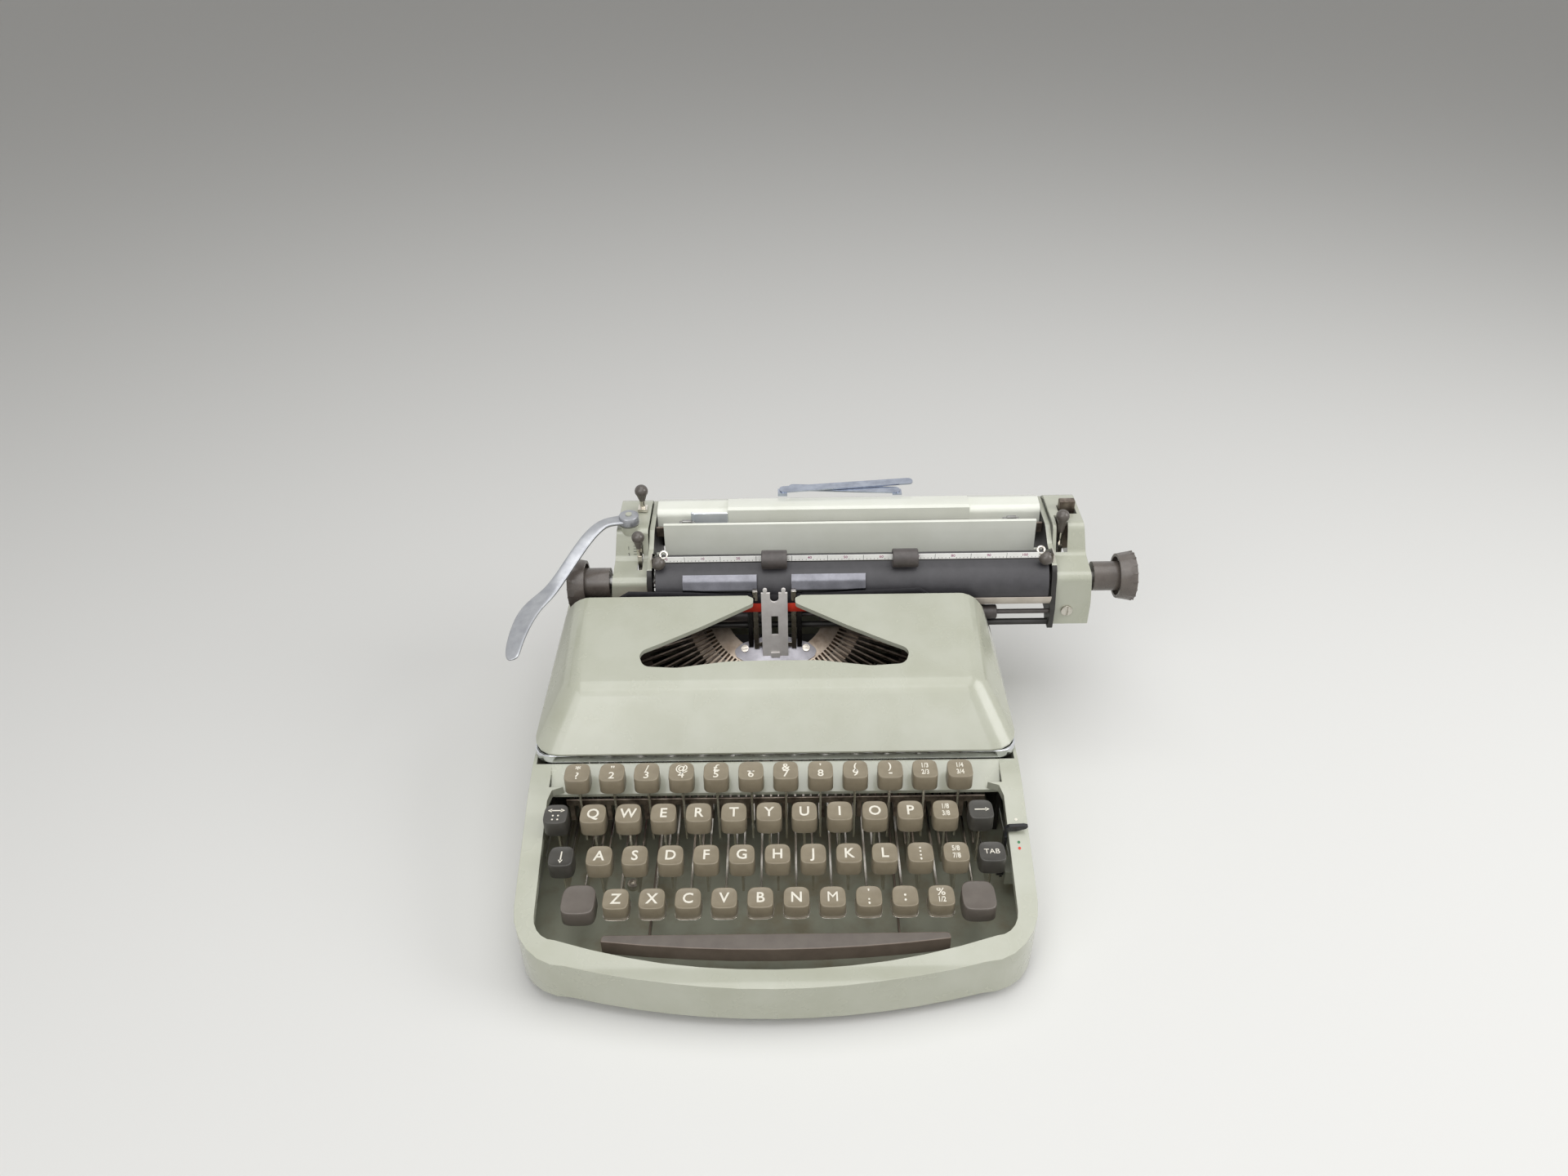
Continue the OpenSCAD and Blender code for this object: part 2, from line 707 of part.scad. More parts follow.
module space_bar() {
    color(slate_color) union() {
        translate([0, 0, space_z - 10]) linear_extrude(height = 10) polygon(rounded(concat(
            [[space_w / 2, space_y, 2]], [[-space_w / 2, space_y, 2]],
            [for (k = [-4:4]) let (x = k / 4 * space_w / 2)
                [x, space_y - 4 - 6 * (1 - pow(2 * x / space_w, 2)), 0]]), 3));
        for (x = [-67.4, 65.6])
            along_x(x - lever_t / 2, x + lever_t / 2) difference() {
                union() {
                    polygon([[space_y - 1, space_z - 9], [space_y - 1, 21.5], [space_y + 6, 20],
                        [rod_y - 10, 20], [rod_y, lever_z], [rod_y, lever_z + lever_h],
                        [rod_y - 20, 24.4], [space_y + 10, 24.4], [space_y + 7, space_z - 9]]);
                    translate([rod_y, rod_z]) circle(r = rod_r + 2.2);
                }
                translate([rod_y, rod_z]) circle(r = rod_r + run_gap);
            }
    }
}

// Ribbon, spools and their cups
module spool_cups() {
    color(black) both_sides() translate([spool_x, spool_y, cup_z]) difference() {
        union() {
            cylinder(h = cup_wall, r = spool_r + 1.5);
            difference() {
                cylinder(h = 2.6, r = spool_r + 1.5);
                translate([0, 0, -1]) cylinder(h = 8, r = spool_r + 0.5);
            }
            translate([10, -9, 0]) cube([chassis_x + chassis_t - spool_x - 10, 18, cup_wall]);
            cylinder(h = 10, r = 2);
        }
    }
}

module spool() {
    difference() {
        union() {
            cylinder(h = 1, r = spool_r);
            cylinder(h = ribbon_h + 1.7, r = 8);
            translate([0, 0, 1.3]) cylinder(h = ribbon_h, r = spool_r - 4);
            translate([0, 0, ribbon_h + 1.6]) cylinder(h = 1, r = spool_r);
        }
        translate([0, 0, -1]) cylinder(h = ribbon_h + 5, r = 2 + run_gap);
    }
}

module ribbon_spool_left() {
    color("#8c1d18") translate([-spool_x, spool_y, spool_z - 1]) spool();
}

module ribbon_spool_right() {
    color(black) translate([spool_x, spool_y, spool_z - 1]) spool();
}

ribbon_t = 0.4;
ribbon_y = strike_y - 4.6;
ribbon_top = strike_z + 1;
ribbon_route = [[spool_x - 5, spool_y + spool_r - 3.2, spool_z + ribbon_h + 0.3],
    [spool_x - 4, spool_y + spool_r + 1.4, spool_z + ribbon_h + 0.3],
    [spool_x - 2, 54, 104], [98.5, ribbon_y - 2.5, 110], [94, ribbon_y, 116.5],
    [88, ribbon_y, ribbon_top - 1], [50, ribbon_y, ribbon_top - 2.5],
    [20, ribbon_y, ribbon_top - 4.8]];
function mirrored(p) = [-p.x, p.y, p.z];
ribbon_path = concat(ribbon_route, [for (k = [len(ribbon_route) - 1:-1:0]) mirrored(ribbon_route[k])]);

// A flat strip swept through its top edge's points
module strip(path, t, h) {
    n = len(path);
    function dir(k) = unit([path[min(n - 1, k + 1)].x - path[max(0, k - 1)].x,
        path[min(n - 1, k + 1)].y - path[max(0, k - 1)].y]);
    pts = [for (k = [0:n - 1]) let (d = dir(k), s = [-d.y, d.x, 0] * t / 2)
        each [path[k] - s, path[k] + s, path[k] + s - [0, 0, h], path[k] - s - [0, 0, h]]];
    polyhedron(points = pts, faces = concat([[3, 2, 1, 0]],
        [for (k = [0:n - 2], j = [0:3]) each [
            [4 * k + j, 4 * k + (j + 1) % 4, 4 * k + 4 + (j + 1) % 4],
            [4 * k + j, 4 * k + 4 + (j + 1) % 4, 4 * k + 4 + j]]],
        [[4 * n - 4, 4 * n - 3, 4 * n - 2, 4 * n - 1]]));
}

module ribbon() {
    color("#1c1a1b") strip(ribbon_path, ribbon_t, ribbon_h);
}

vibrator_y = ribbon_y + ribbon_t / 2 + 0.4;
hook_x0 = 10.2;
hook_x1 = 13.2;
hook_top = ribbon_top - 1.8;
hook_low = hook_top - 7;

module ribbon_vibrator() {
    post = [vibrator_y, vibrator_y + 0.8];
    lip = [ribbon_y - 1.1, ribbon_y - 0.5];
    color(steel) union() {
        box3([-hook_x1, hook_x1], post, [76, 79]);
        both_sides() {
            box3([hook_x0, hook_x1], post, [74, hook_top]);
            box3([hook_x0, hook_x1], [lip[0], post[1]], [hook_top - 0.7, hook_top]);
            box3([hook_x0, hook_x1 - 1.2], lip, [hook_low, hook_top]);
            box3([hook_x1 - 1.2 - e, hook_x1], lip, [hook_low + 2.6, hook_top]);
        }
    }
}

// The pointer rides over the side rim; its arm and pin stay inside the well
pointer_y = number_y - row_depth - 5.5;
pointer_z = rim_at(pointer_y) + 1.8;
pointer_pin_z = 27;

module ribbon_color_lever() {
    color(black) union() {
        along_y(pointer_y - 1.1, pointer_y + 1.1) translate([rim_in, pointer_z]) polygon([
            [-2.2, -6], [-0.8, -6], [-0.8, 0], [4, 0], [9, 1.8], [10, 3.4], [8, 4], [0, 3.6],
            [-2.2, 2]]);
        box3([rim_in - 2.2, rim_in - 0.8], [pointer_y - 2.5, pointer_y + 2.5],
            [pointer_pin_z - 3, pointer_z - 3]);
        rod_x(rim_in - 4, rim_in - gap, pointer_y, pointer_pin_z, 3);
    }
}

// Carriage: places from side to side count from its own middle
module on_carriage() {
    translate([carriage_x, 0, 0]) children();
}

plate_in = platen_len / 2 + 2.5;
plate_out = plate_in + side_t;
cover_in = plate_out + gap;
cover_out = cover_in + end_w;
bail_y = 100;
bail_z = 118;
feed_y = 72;
feed_z = 96;
feed_r = 4.4;
front_rod_y = 73;
front_rod_z = 87.2;
feed_axle_r = 1.5;
bail_pin_r = 2.5;
lever_pin_r = 2;

module carriage_side() {
    difference() {
        along_x(plate_in, plate_out) polygon(rounded([[68, 84.6, 2], [68, 100, 2], [76, 126, 6],
            [96, 130, 6], [108, 136.5, 4], [144, 136.5, 4], [147, 128, 4], [147, 96, 4],
            [134, beam_z, 4], [104, beam_z, 4], [98, 90, 2],
            [84, 90, 2], [79, 84.6, 2]]));
        rod_x(plate_in - 1, plate_out + 1, platen_y, platen_z, shaft_r + run_gap);
        rod_x(plate_in - 1, plate_out + 1, feed_y, feed_z, feed_axle_r + run_gap);
        rod_x(plate_in - 1, plate_out + 1, bail_y, bail_z, bail_pin_r + run_gap);
    }
}

module carriage_frame() {
    color(black) on_carriage() union() {
        both_sides() carriage_side();
        box3([-plate_in - 0.5, plate_in + 0.5], [112, 133], [beam_z, beam_z + 5]);
        box3([-plate_in - 0.5, plate_in + 0.5], [144, 146], [100, 124]);
        box3([-plate_in + 4, plate_in - 4], [rail_y0 - 3, rail_y0 - 0.6], [beam_z - 2.4, beam_z + 1]);
        rod_x(-plate_in - 0.5, plate_in + 0.5, front_rod_y, front_rod_z, 2);
    }
}

function end_profile(s) = rounded([[74 + s, 84 - s * 2, 0], [74 + s, 121 - s, 5],
    [94, 124 - s, 5], [101, 141 - s, 5], [138 - s, 140.4 - s, 9], [151 - s, 128 - s, 9],
    [151 - s, 90 - s * 2, 0], [106, 90 - s * 2, 0], [102, 84 - s * 2, 0]]);

end_wall = 1.6;
screw_run = (cover_in + cover_out) / 2 - 3;

// The cover at the right end, inset by s; its inner side is open
module end_form(s) {
    intersection() {
        along_x(s > 0 ? cover_in - 1 : cover_in, cover_out) polygon(end_profile(s));
        along_y(60, 160) polygon([[cover_in - 2, 80], [cover_out - s, 80], [cover_out - s, 100],
            [cover_out - end_lean - s, 145], [cover_in - 2, 145]]);
    }
}

module end_cover() {
    difference() {
        end_form(0);
        end_form(end_wall);
        rod_x(cover_in - 1, cover_out + 1, platen_y, platen_z, shaft_r + 1);
        rod_y_axis(screw_run, 72, 77, 95, 2);
    }
}

knob_slot_x = -cover_in - 5;
lever_x = -cover_out + 11.5;
lever_y = 105;
pivot_top = 150;

module left_end_cover() {
    color(enamel) on_carriage() difference() {
        union() {
            mirror([1, 0, 0]) end_cover();
            translate([lever_x, lever_y, 138]) cylinder(h = pivot_top - 7 - 138, r = 6);
            translate([lever_x, lever_y, 139]) cylinder(h = pivot_top + 0.6 - 139, r = lever_pin_r);
        }
        box3([knob_slot_x - 1.6, knob_slot_x + 1.6], [84, 99], [110, 150]);
    }
}

tab_x = cover_in + 6.6;
tab_y = 117.6;
tab_w = 9.8;

module right_end_cover() {
    color(enamel) on_carriage() difference() {
        end_cover();
        box3([cover_in + 2.2, cover_in + 9.2], [94, 112], [110, 150]);
        box3([tab_x - gap * 2, tab_x + tab_w + gap * 2], [tab_y - 4, tab_y + 6.4], [132, 150]);
    }
}

module end_cover_screws() {
    color(steel) on_carriage() for (s = [-1, 1])
        translate([s * screw_run, 0, 0]) difference() {
            union() {
                rod_y_axis(0, 72.4, 74, 95, 3.6);
                rod_y_axis(0, 73, 80, 95, 1.9);
            }
            box3([-0.5, 0.5], [71, 73], [90, 100]);
        }
}

module paper_table() {
    color(enamel) on_carriage() union() {
        along_x(-plate_in + 6, plate_in - 6) polygon([[104.4, 108], [106, 108], [109, 139.5],
            [108, 141], [106.4, 140.5]]);
        both_sides() box3([plate_in - 14, plate_in - 0.3], [105.2, 107], [112, 120]);
    }
}

// Its middle part stands a little higher than the ends
crown_half = 77;
crown_h = 2;

module carriage_back_cover() {
    color(enamel) on_carriage() union() {
        along_x(-plate_in + 0.4, plate_in - 0.4) polygon(rounded([[122, 126, 0], [124, 139.5, 5],
            [136, 140.5, 8], [152, 132, 8], [152, 100, 0], [150.4, 100, 0], [150.4, 131, 7],
            [136, 138.9, 7], [125.4, 138, 4], [123.6, 126, 0]]));
        along_x(-crown_half, crown_half) translate([0, crown_h]) polygon([[122.6, 130],
            [123.5, 138.2], [125, 139.7], [127.5, 140.1], [133, 139.4], [137.4, 138.4],
            [137.4, 137.4], [126, 137.4], [124.2, 130]]);
    }
}

module paper_pan() {
    color(steel) on_carriage() translate([0, platen_y, platen_z])
        union() {
            along_x(-plate_in + 5, plate_in - 5) polygon(concat(
                arc(platen_r + 1.2, 262, 330, 12), arc(platen_r + 0.5, 330, 262, 12)));
            along_x(-plate_in + gap, plate_in - gap) polygon(concat(
                arc(platen_r + gap + 0.4, 192, 218, 8), arc(platen_r + gap, 218, 192, 8)));
        }
}

margin_y = 114;
margin_z = 132;

module margin_rail() {
    color(steel) on_carriage() box3([-plate_in + 0.2, plate_in - 0.2], [margin_y, margin_y + 1.6],
        [margin_z - 5, margin_z + 2]);
}

module margin_stop() {
    difference() {
        union() {
            box3([-5, 5], [margin_y - 2.6, margin_y + 4.2], [margin_z - 7, margin_z + 4.2]);
            along_x(-3, 3) polygon([[margin_y - 1, margin_z + 4], [margin_y + 2, margin_z + 4],
                [margin_y + 2, margin_z + 6.6], [margin_y, margin_z + 6.6]]);
        }
        box3([-6, 6], [margin_y - gap, margin_y + 1.6 + gap], [margin_z - 5 - gap, margin_z + 2 + gap]);
    }
}

margin_left_x = -plate_in + 20;
margin_right_x = plate_in - 20;

module margin_stop_left() {
    color(steel) on_carriage() translate([margin_left_x, 0, 0]) margin_stop();
}

module margin_stop_right() {
    color(steel) on_carriage() translate([margin_right_x, 0, 0]) margin_stop();
}

// Teardrop levers at the ends of the carriage
module teardrop(x, y, z, h, r) {
    translate([x, y, z]) rotate_extrude() polygon(concat([[0, 0], [1.6, 0], [1.8, h * 0.35]],
        [for (k = [0:8]) let (a = -40 + 130 * k / 8) [max(0, r * cos(a)), h - r + r * sin(a)]]));
}

module line_space_lever() {
    color(black) on_carriage() union() {
        teardrop(knob_slot_x, 91, 128, 18, 4);
        box3([knob_slot_x - 1.2, knob_slot_x + 1.2], [89, 95], [112, 129]);
        rod_x(knob_slot_x - 1.2, -plate_out - 0.4, 92, 114.5, 2.5);
    }
}

module carriage_release_left() {
    color(black) on_carriage() union() {
        teardrop(-cover_in - 5, 124, 142.4, 17, 4.2);
        box3([-cover_in - 8, -cover_in - 2], [121, 127], [141.3, 143.3]);
    }
}

module carriage_release_right() {
    color(black) on_carriage() union() {
        teardrop(cover_in + 5.7, 103, 126, 24, 4.2);
        box3([cover_in + 4.5, cover_in + 6.9], [99, 107], [112, 127]);
    }
}

module paper_release_lever() {
    color("#6a6d70") on_carriage() box3([tab_x, tab_x + tab_w], [tab_y, tab_y + 5],
        [112, 147]);
}

module platen_rubber() {
    color("#3a3d41") on_carriage() difference() {
        rod_x(-platen_len / 2, platen_len / 2, platen_y, platen_z, platen_r);
        rod_x(-platen_len / 2 - 1, platen_len / 2 + 1, platen_y, platen_z, shaft_r);
    }
}

knob_x = cover_out + 0.5;

module platen_shaft() {
    color(steel) on_carriage() rod_x(-knob_x - knob_len + 4, knob_x + knob_len - 4,
        platen_y, platen_z, shaft_r);
}

flange_w = 10;
flange_x = knob_x + knob_len - flange_w;
flange_pocket = 3;
flutes = 18;

module knob() {
    difference() {
        union() {
            rod_x(knob_x, flange_x + flange_pocket + 1, platen_y, platen_z, knob_neck_r);
            translate([flange_x, platen_y, platen_z]) rotate([0, 90, 0])
                cylinder(h = flange_w, r1 = knob_r - 1.8, r2 = knob_r);
        }
        rod_x(knob_x - 1, knob_x + knob_len - 4, platen_y, platen_z, shaft_r);
        difference() {
            rod_x(flange_x - 1, flange_x + flange_pocket, platen_y, platen_z, knob_r - 3.6);
            rod_x(flange_x - 2, flange_x + flange_pocket + 1, platen_y, platen_z, knob_neck_r);
        }
        for (k = [0:flutes - 1]) translate([0, platen_y, platen_z]) rotate([k * 360 / flutes, 0, 0])
            box3([flange_x - 1, knob_x + knob_len + 1], [-2.1, 2.1], [knob_r - 0.7, knob_r + 4]);
    }
}

module platen_knob_left() {
    color("#6b6259") on_carriage() mirror([1, 0, 0]) knob();
}

module platen_knob_right() {
    color("#6b6259") on_carriage() knob();
}

ratchet_t = 1;

module line_ratchet() {
    color(steel) on_carriage() difference() {
        along_x(-platen_len / 2 - ratchet_t, -platen_len / 2) translate([platen_y, platen_z])
            polygon([for (k = [0:59]) let (a = k * 6, r = k % 2 == 0 ? 14 : 12.8)
                [r * cos(a), r * sin(a)]]);
        rod_x(-platen_len / 2 - 3, -platen_len / 2 + 1, platen_y, platen_z, shaft_r);
    }
}

// Paper bail: arms from the side plates to a scale strip over the platen
bail_roll_r = 5.8;
bail_roll_x = [-47.2, 32.1];
bail_roll_w = 15.6;
bail_roll_bore = 3.6;
strip_y = 75.9;
strip_z = 134.6;
strip_low = 1.8;
strip_high = 3.2;
strip_t = 1.2;
grip_r = 4.4;
bail_in = plate_in - gap;
bail_arm_t = 0.9;

module paper_bail() {
    color("white") on_carriage() union() {
        rod_x(-bail_in + 0.5, bail_in - 0.5, strip_y, strip_z, strip_t);
        box3([-bail_in + grip_r, bail_in - grip_r], [strip_y - strip_t / 2, strip_y + strip_t / 2],
            [strip_z - strip_low, strip_z + strip_high]);
        both_sides() {
            along_x(bail_in - bail_arm_t, bail_in) polygon([[strip_y - 3, strip_z - 3],
                [strip_y - 3, strip_z + 3], [strip_y + 4, strip_z + 3], [bail_y + 4, bail_z + 1],
                [bail_y + 1, bail_z - 4], [bail_y - 4, bail_z]]);
            rod_x(bail_in - bail_arm_t, plate_out - 0.2, bail_y, bail_z, bail_pin_r);
            translate([bail_in - grip_r - 0.2, strip_y - 0.4, strip_z - 1.2]) sphere(r = grip_r);
        }
    }
}

module bail_rollers() {
    color("#3b3430") on_carriage() for (x = bail_roll_x)
        difference() {
            rod_x(x - bail_roll_w / 2, x + bail_roll_w / 2, strip_y, strip_z, bail_roll_r);
            rod_x(x - bail_roll_w, x + bail_roll_w, strip_y, strip_z, bail_roll_bore);
        }
}

module feed_rollers() {
    color(black) on_carriage() union() {
        rod_x(-plate_out + 0.2, plate_out - 0.2, feed_y, feed_z, feed_axle_r);
        for (x = [-70, 0, 70]) rod_x(x - 20, x + 20, feed_y, feed_z, feed_r);
    }
}

// Return lever: a flat arm out from its pivot, then a long paddle to the front
arm_route = [[lever_x, lever_y, pivot_top - 5], [-150, 103.5, 146.4], [-158, 93, 143.5],
    [-164.5, 80, 139], [-171.4, 66, 134], [-179.5, 52, 128.6]];
paddle_route = [[-179.5, 52, 128.6], [-190.5, 42, 126], [-194.8, 24, 123.8], [-194.4, 3, 121.5]];
paddle_r = [3.5, 5.6, 5.2, 4.7];

module arm_piece(p, q, r0, r1, t) {
    hull() {
        translate(p) cylinder(h = t, r = r0, $fn = 24);
        translate(q) cylinder(h = t, r = r1, $fn = 24);
    }
}

module return_lever() {
    color("silver") on_carriage() difference() {
        union() {
            for (k = [0:4]) arm_piece(arm_route[k], arm_route[k + 1], k == 0 ? 6 : 3.5, 3.5, 3);
            for (k = [0:2])
                arm_piece(paddle_route[k], paddle_route[k + 1], paddle_r[k], paddle_r[k + 1], 2.4);
        }
        translate([lever_x, lever_y, pivot_top - 12]) cylinder(h = 12, r = lever_pin_r + run_gap);
    }
}

support_z = 141.1;

module support_arm(x0, x1, y0, y1, z) {
    translate([0, 0, z]) linear_extrude(height = 1) polygon(rounded(
        let (d = unit([x1 - x0, y1 - y0]), n = [-d.y, d.x] * 3.5) [
            [x0 - n.x, y0 - n.y, 3], [x1 - n.x, y1 - n.y, 3],
            [x1 + n.x, y1 + n.y, 3], [x0 + n.x, y0 + n.y, 3]]));
}

module paper_supports() {
    color(steel) on_carriage() union() {
        support_arm(34, -38, 142, 147.5, support_z + 0.8);
        support_arm(-44, 43, 142.5, 151.5, support_z + 2);
        box3([29, 35], [138, 144], [support_z, support_z + 1.2]);
        box3([-45, -39], [138.4, 144.4], [support_z, support_z + 2.2]);
    }
}

base_housing();
bottom_plate();
rubber_feet();
chassis_frame();
key_pivot_rod();
type_segment();
typebars();
type_rest();
type_guide();
guide_screws();
card_holders();
spool_cups();
ribbon();
carriage_rail();
rear_panel();
margin_bell();
ribbon_spool_left();
ribbon_spool_right();
ribbon_vibrator();
ribbon_color_lever();
mainspring_drum();
escapement_wheel();
ribbon_cover();
chrome_trim();
number_row_keys();
q_row_keys();
a_row_keys();
z_row_keys();
key_h();
typebar_h();
shift_keys();
shift_lock_key();
margin_release_key();
backspace_key();
tab_key();
space_bar();
carriage_frame();
left_end_cover();
right_end_cover();
end_cover_screws();
paper_table();
carriage_back_cover();
paper_pan();
margin_rail();
margin_stop_left();
margin_stop_right();
line_space_lever();
carriage_release_left();
carriage_release_right();
paper_release_lever();
platen_rubber();
platen_shaft();
platen_knob_left();
platen_knob_right();
line_ratchet();
paper_bail();
bail_rollers();
feed_rollers();
return_lever();
paper_supports();
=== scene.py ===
import json
import math

import bpy
from mathutils import Matrix, Vector


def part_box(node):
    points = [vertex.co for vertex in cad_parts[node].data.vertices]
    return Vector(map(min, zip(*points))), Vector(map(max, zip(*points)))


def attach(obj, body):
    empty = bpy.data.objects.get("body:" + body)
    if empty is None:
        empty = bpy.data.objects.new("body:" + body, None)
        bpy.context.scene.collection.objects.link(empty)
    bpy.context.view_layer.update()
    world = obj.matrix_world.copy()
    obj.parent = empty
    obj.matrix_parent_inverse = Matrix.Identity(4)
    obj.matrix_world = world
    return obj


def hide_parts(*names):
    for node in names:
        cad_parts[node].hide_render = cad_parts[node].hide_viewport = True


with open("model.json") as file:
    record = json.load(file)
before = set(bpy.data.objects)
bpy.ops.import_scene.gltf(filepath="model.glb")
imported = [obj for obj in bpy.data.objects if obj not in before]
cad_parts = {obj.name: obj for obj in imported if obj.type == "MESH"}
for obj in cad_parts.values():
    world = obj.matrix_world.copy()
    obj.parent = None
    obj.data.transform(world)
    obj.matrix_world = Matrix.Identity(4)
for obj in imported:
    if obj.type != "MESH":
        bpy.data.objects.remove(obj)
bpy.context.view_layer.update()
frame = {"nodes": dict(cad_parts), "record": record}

mm = 0.001
print("frame loaded:", len(frame["nodes"]), "nodes")


# Camera at the photo's viewing angle, in degrees and millimetres
camera = {"place": (10.9, -507.5, 536.5), "pitch": 35.96, "yaw": -0.49, "roll": 1.04,
          "lens": 26.81, "sensor": 36.0}


def placeCamera(c):
    pitch, yaw, roll = (math.radians(c[k]) for k in ("pitch", "yaw", "roll"))
    look = Vector((math.sin(yaw) * math.cos(pitch), math.cos(yaw) * math.cos(pitch), -math.sin(pitch)))
    right = Vector((math.cos(yaw), -math.sin(yaw), 0))
    down = look.cross(right)
    turnedRight = right * math.cos(roll) + down * math.sin(roll)
    turnedDown = down * math.cos(roll) - right * math.sin(roll)
    bpy.ops.object.camera_add()
    cam = bpy.context.object
    cam.name = "camera"
    cam.data.sensor_width = c["sensor"]
    cam.data.lens = c["lens"]
    cam.data.clip_end = 20
    axes = Matrix((turnedRight, -turnedDown, -look)).transposed().to_4x4()
    cam.matrix_world = Matrix.Translation(Vector(c["place"]) * mm) @ axes
    bpy.context.scene.camera = cam


placeCamera(camera)


# Node and colour helpers
def linear(hexColour):
    parts = [int(hexColour[i:i + 2], 16) / 255 for i in (1, 3, 5)]
    return tuple(c / 12.92 if c <= 0.04045 else ((c + 0.055) / 1.055) ** 2.4 for c in parts) + (1,)


def addNode(tree, kind, settings=None, inputs=None, links=None):
    node = tree.nodes.new(kind)
    for name, value in (settings or {}).items():
        setattr(node, name, value)
    for name, value in (inputs or {}).items():
        node.inputs[name].default_value = value
    for name, socket in (links or {}).items():
        tree.links.new(socket, node.inputs[name])
    return node


def startMaterial(name, colour, **sockets):
    material = bpy.data.materials.new(name)
    material.use_nodes = True
    tree = material.node_tree
    shader = tree.nodes["Principled BSDF"]
    shader.inputs["Base Color"].default_value = linear(colour)
    for socket, value in sockets.items():
        shader.inputs[socket.replace("_", " ")].default_value = value
    place = addNode(tree, "ShaderNodeTexCoord").outputs["Object"]
    return material, tree, shader, place


# A surface: two colours mixed by a noise, a roughness spread and a fine bump, sizes in millimetres
def finish(name, colour, other, patch, grain, bump, rough, spread=0.08, share=(0.35, 0.7), **sockets):
    material, tree, shader, place = startMaterial(name, colour, **sockets)
    patches = addNode(tree, "ShaderNodeTexNoise", links={"Vector": place},
                      inputs={"Scale": 1 / (patch * mm), "Detail": 5.0, "Roughness": 0.6})
    ramp = addNode(tree, "ShaderNodeValToRGB", links={"Fac": patches.outputs["Fac"]})
    ramp.color_ramp.elements[0].position = share[0]
    ramp.color_ramp.elements[1].position = share[1]
    ramp.color_ramp.elements[0].color = linear(colour)
    ramp.color_ramp.elements[1].color = linear(other)
    tree.links.new(ramp.outputs["Color"], shader.inputs["Base Color"])
    levels = addNode(tree, "ShaderNodeMapRange", inputs={"To Min": rough - spread, "To Max": rough + spread},
                     links={"Value": patches.outputs["Fac"]})
    tree.links.new(levels.outputs["Result"], shader.inputs["Roughness"])
    fine = addNode(tree, "ShaderNodeTexNoise", inputs={"Scale": 1 / (grain * mm), "Detail": 3.0},
                   links={"Vector": place})
    relief = addNode(tree, "ShaderNodeBump", inputs={"Strength": bump, "Distance": 0.1 * mm},
                     links={"Height": fine.outputs["Fac"]})
    tree.links.new(relief.outputs["Normal"], shader.inputs["Normal"])
    return material


# Stove enamel on pressed steel: a deep gloss with faint orange peel and handling marks
enamel = finish("sageEnamel", "#b6b8a9", "#abad9b", 38, 1.1, 0.05, 0.27, 0.05, Coat_Weight=0.5,
                Coat_Roughness=0.12)
# The same stove enamel up on the carriage's paper table and back cover, painted paler as the light on their
# steep faces
litCarriageEnamel = finish("litCarriageSageEnamel", "#e8eae0", "#dfe1d5", 38, 1.1, 0.05, 0.25, 0.05, Coat_Weight=0.5,
                     Coat_Roughness=0.12)
# The same stove enamel low in the well, dulled and browned by oil and dust
agedEnamel = finish("agedWellEnamel", "#a1a392", "#85785e", 26, 0.8, 0.12, 0.5, 0.08, (0.45, 0.8))
# Moulded urea resin of the letter keys: warm grey-brown tops, satin from use
keyTop = finish("keyCapUrea", "#8f8571", "#857b68", 6, 0.5, 0.08, 0.36)
# Moulded urea resin of their sides, painted darker than the tops as shade
keyShadedSide = finish("keyCapUreaShadedSide", "#736551", "#675a48", 6, 0.5, 0.08, 0.4)
# Moulded urea resin of their front rims, painted pale as a highlight
keyRimHighlight = finish("keyCapUreaRimHighlight", "#e6decc", "#d6ccba", 6, 0.5, 0.04, 0.3)
# Moulded urea resin of the machine keys' rims: the slate painted grey as a highlight
slateRimHighlight = finish("slateCapUreaRimHighlight", "#8d8984", "#7d7974", 6, 0.5, 0.04, 0.3)
# Moulded urea resin of the machine keys' tops: slate with a satin look
slateTop = finish("slateCapUrea", "#474540", "#3d3b37", 6, 0.5, 0.08, 0.36)
# Moulded urea resin of the machine keys' sides: slate painted darker as shade, duller than the tops
slateShadedSide = finish("slateCapUreaShadedSide", "#3b3837", "#33302f", 6, 0.5, 0.08, 0.4)
# Moulded urea resin of shift keys and space bar: brown-grey with a satin look
brownTop = finish("brownMoulding", "#6c655e", "#625b55", 9, 0.6, 0.08, 0.38)
# Moulded urea resin of the space bar's front, painted paler than the top as the light falling on it
brownLitFront = finish("brownMouldingLitFront", "#796d62", "#6d6157", 9, 0.6, 0.08, 0.38)
# Moulded urea resin of the shift keys' sides: brown-grey painted darker as shade
brownShadedSide = finish("brownMouldingShadedSide", "#574f4a", "#4d4641", 9, 0.6, 0.08, 0.4)
# White filling paste in the engraved legends: flat and bright
legendWhite = finish("legendFilling", "#f2eee2", "#e4dfd0", 3, 0.4, 0.05, 0.5)
# Nickel plate gone slightly dull, with oil in the pits
wornNickel = finish("wornNickelPlate", "#c9c5bb", "#8f887b", 5, 0.8, 0.12, 0.3, 0.1, (0.5, 0.8),
                    Metallic=1.0)
# Nickel plate still bright, on rods and small stampings
brightNickel = finish("brightNickelPlate", "#dedad2", "#bdb6aa", 7, 0.8, 0.06, 0.22, 0.06, Metallic=1.0)
# Nickel plate stained brown by old oil, on the segment
stainedNickel = finish("stainedNickelPlate", "#b3a596", "#77685a", 9, 0.9, 0.12, 0.38, 0.1, (0.4, 0.75),
                       Metallic=1.0)
# Nickel plate of the type guide's upright, painted pale as a highlight, with a soft sheen
guideHighlightNickel = finish("guideHighlightNickelPlate", "#f1edea", "#e0dbd7", 8, 0.6, 0.06, 0.36, 0.06, Metallic=0.1)
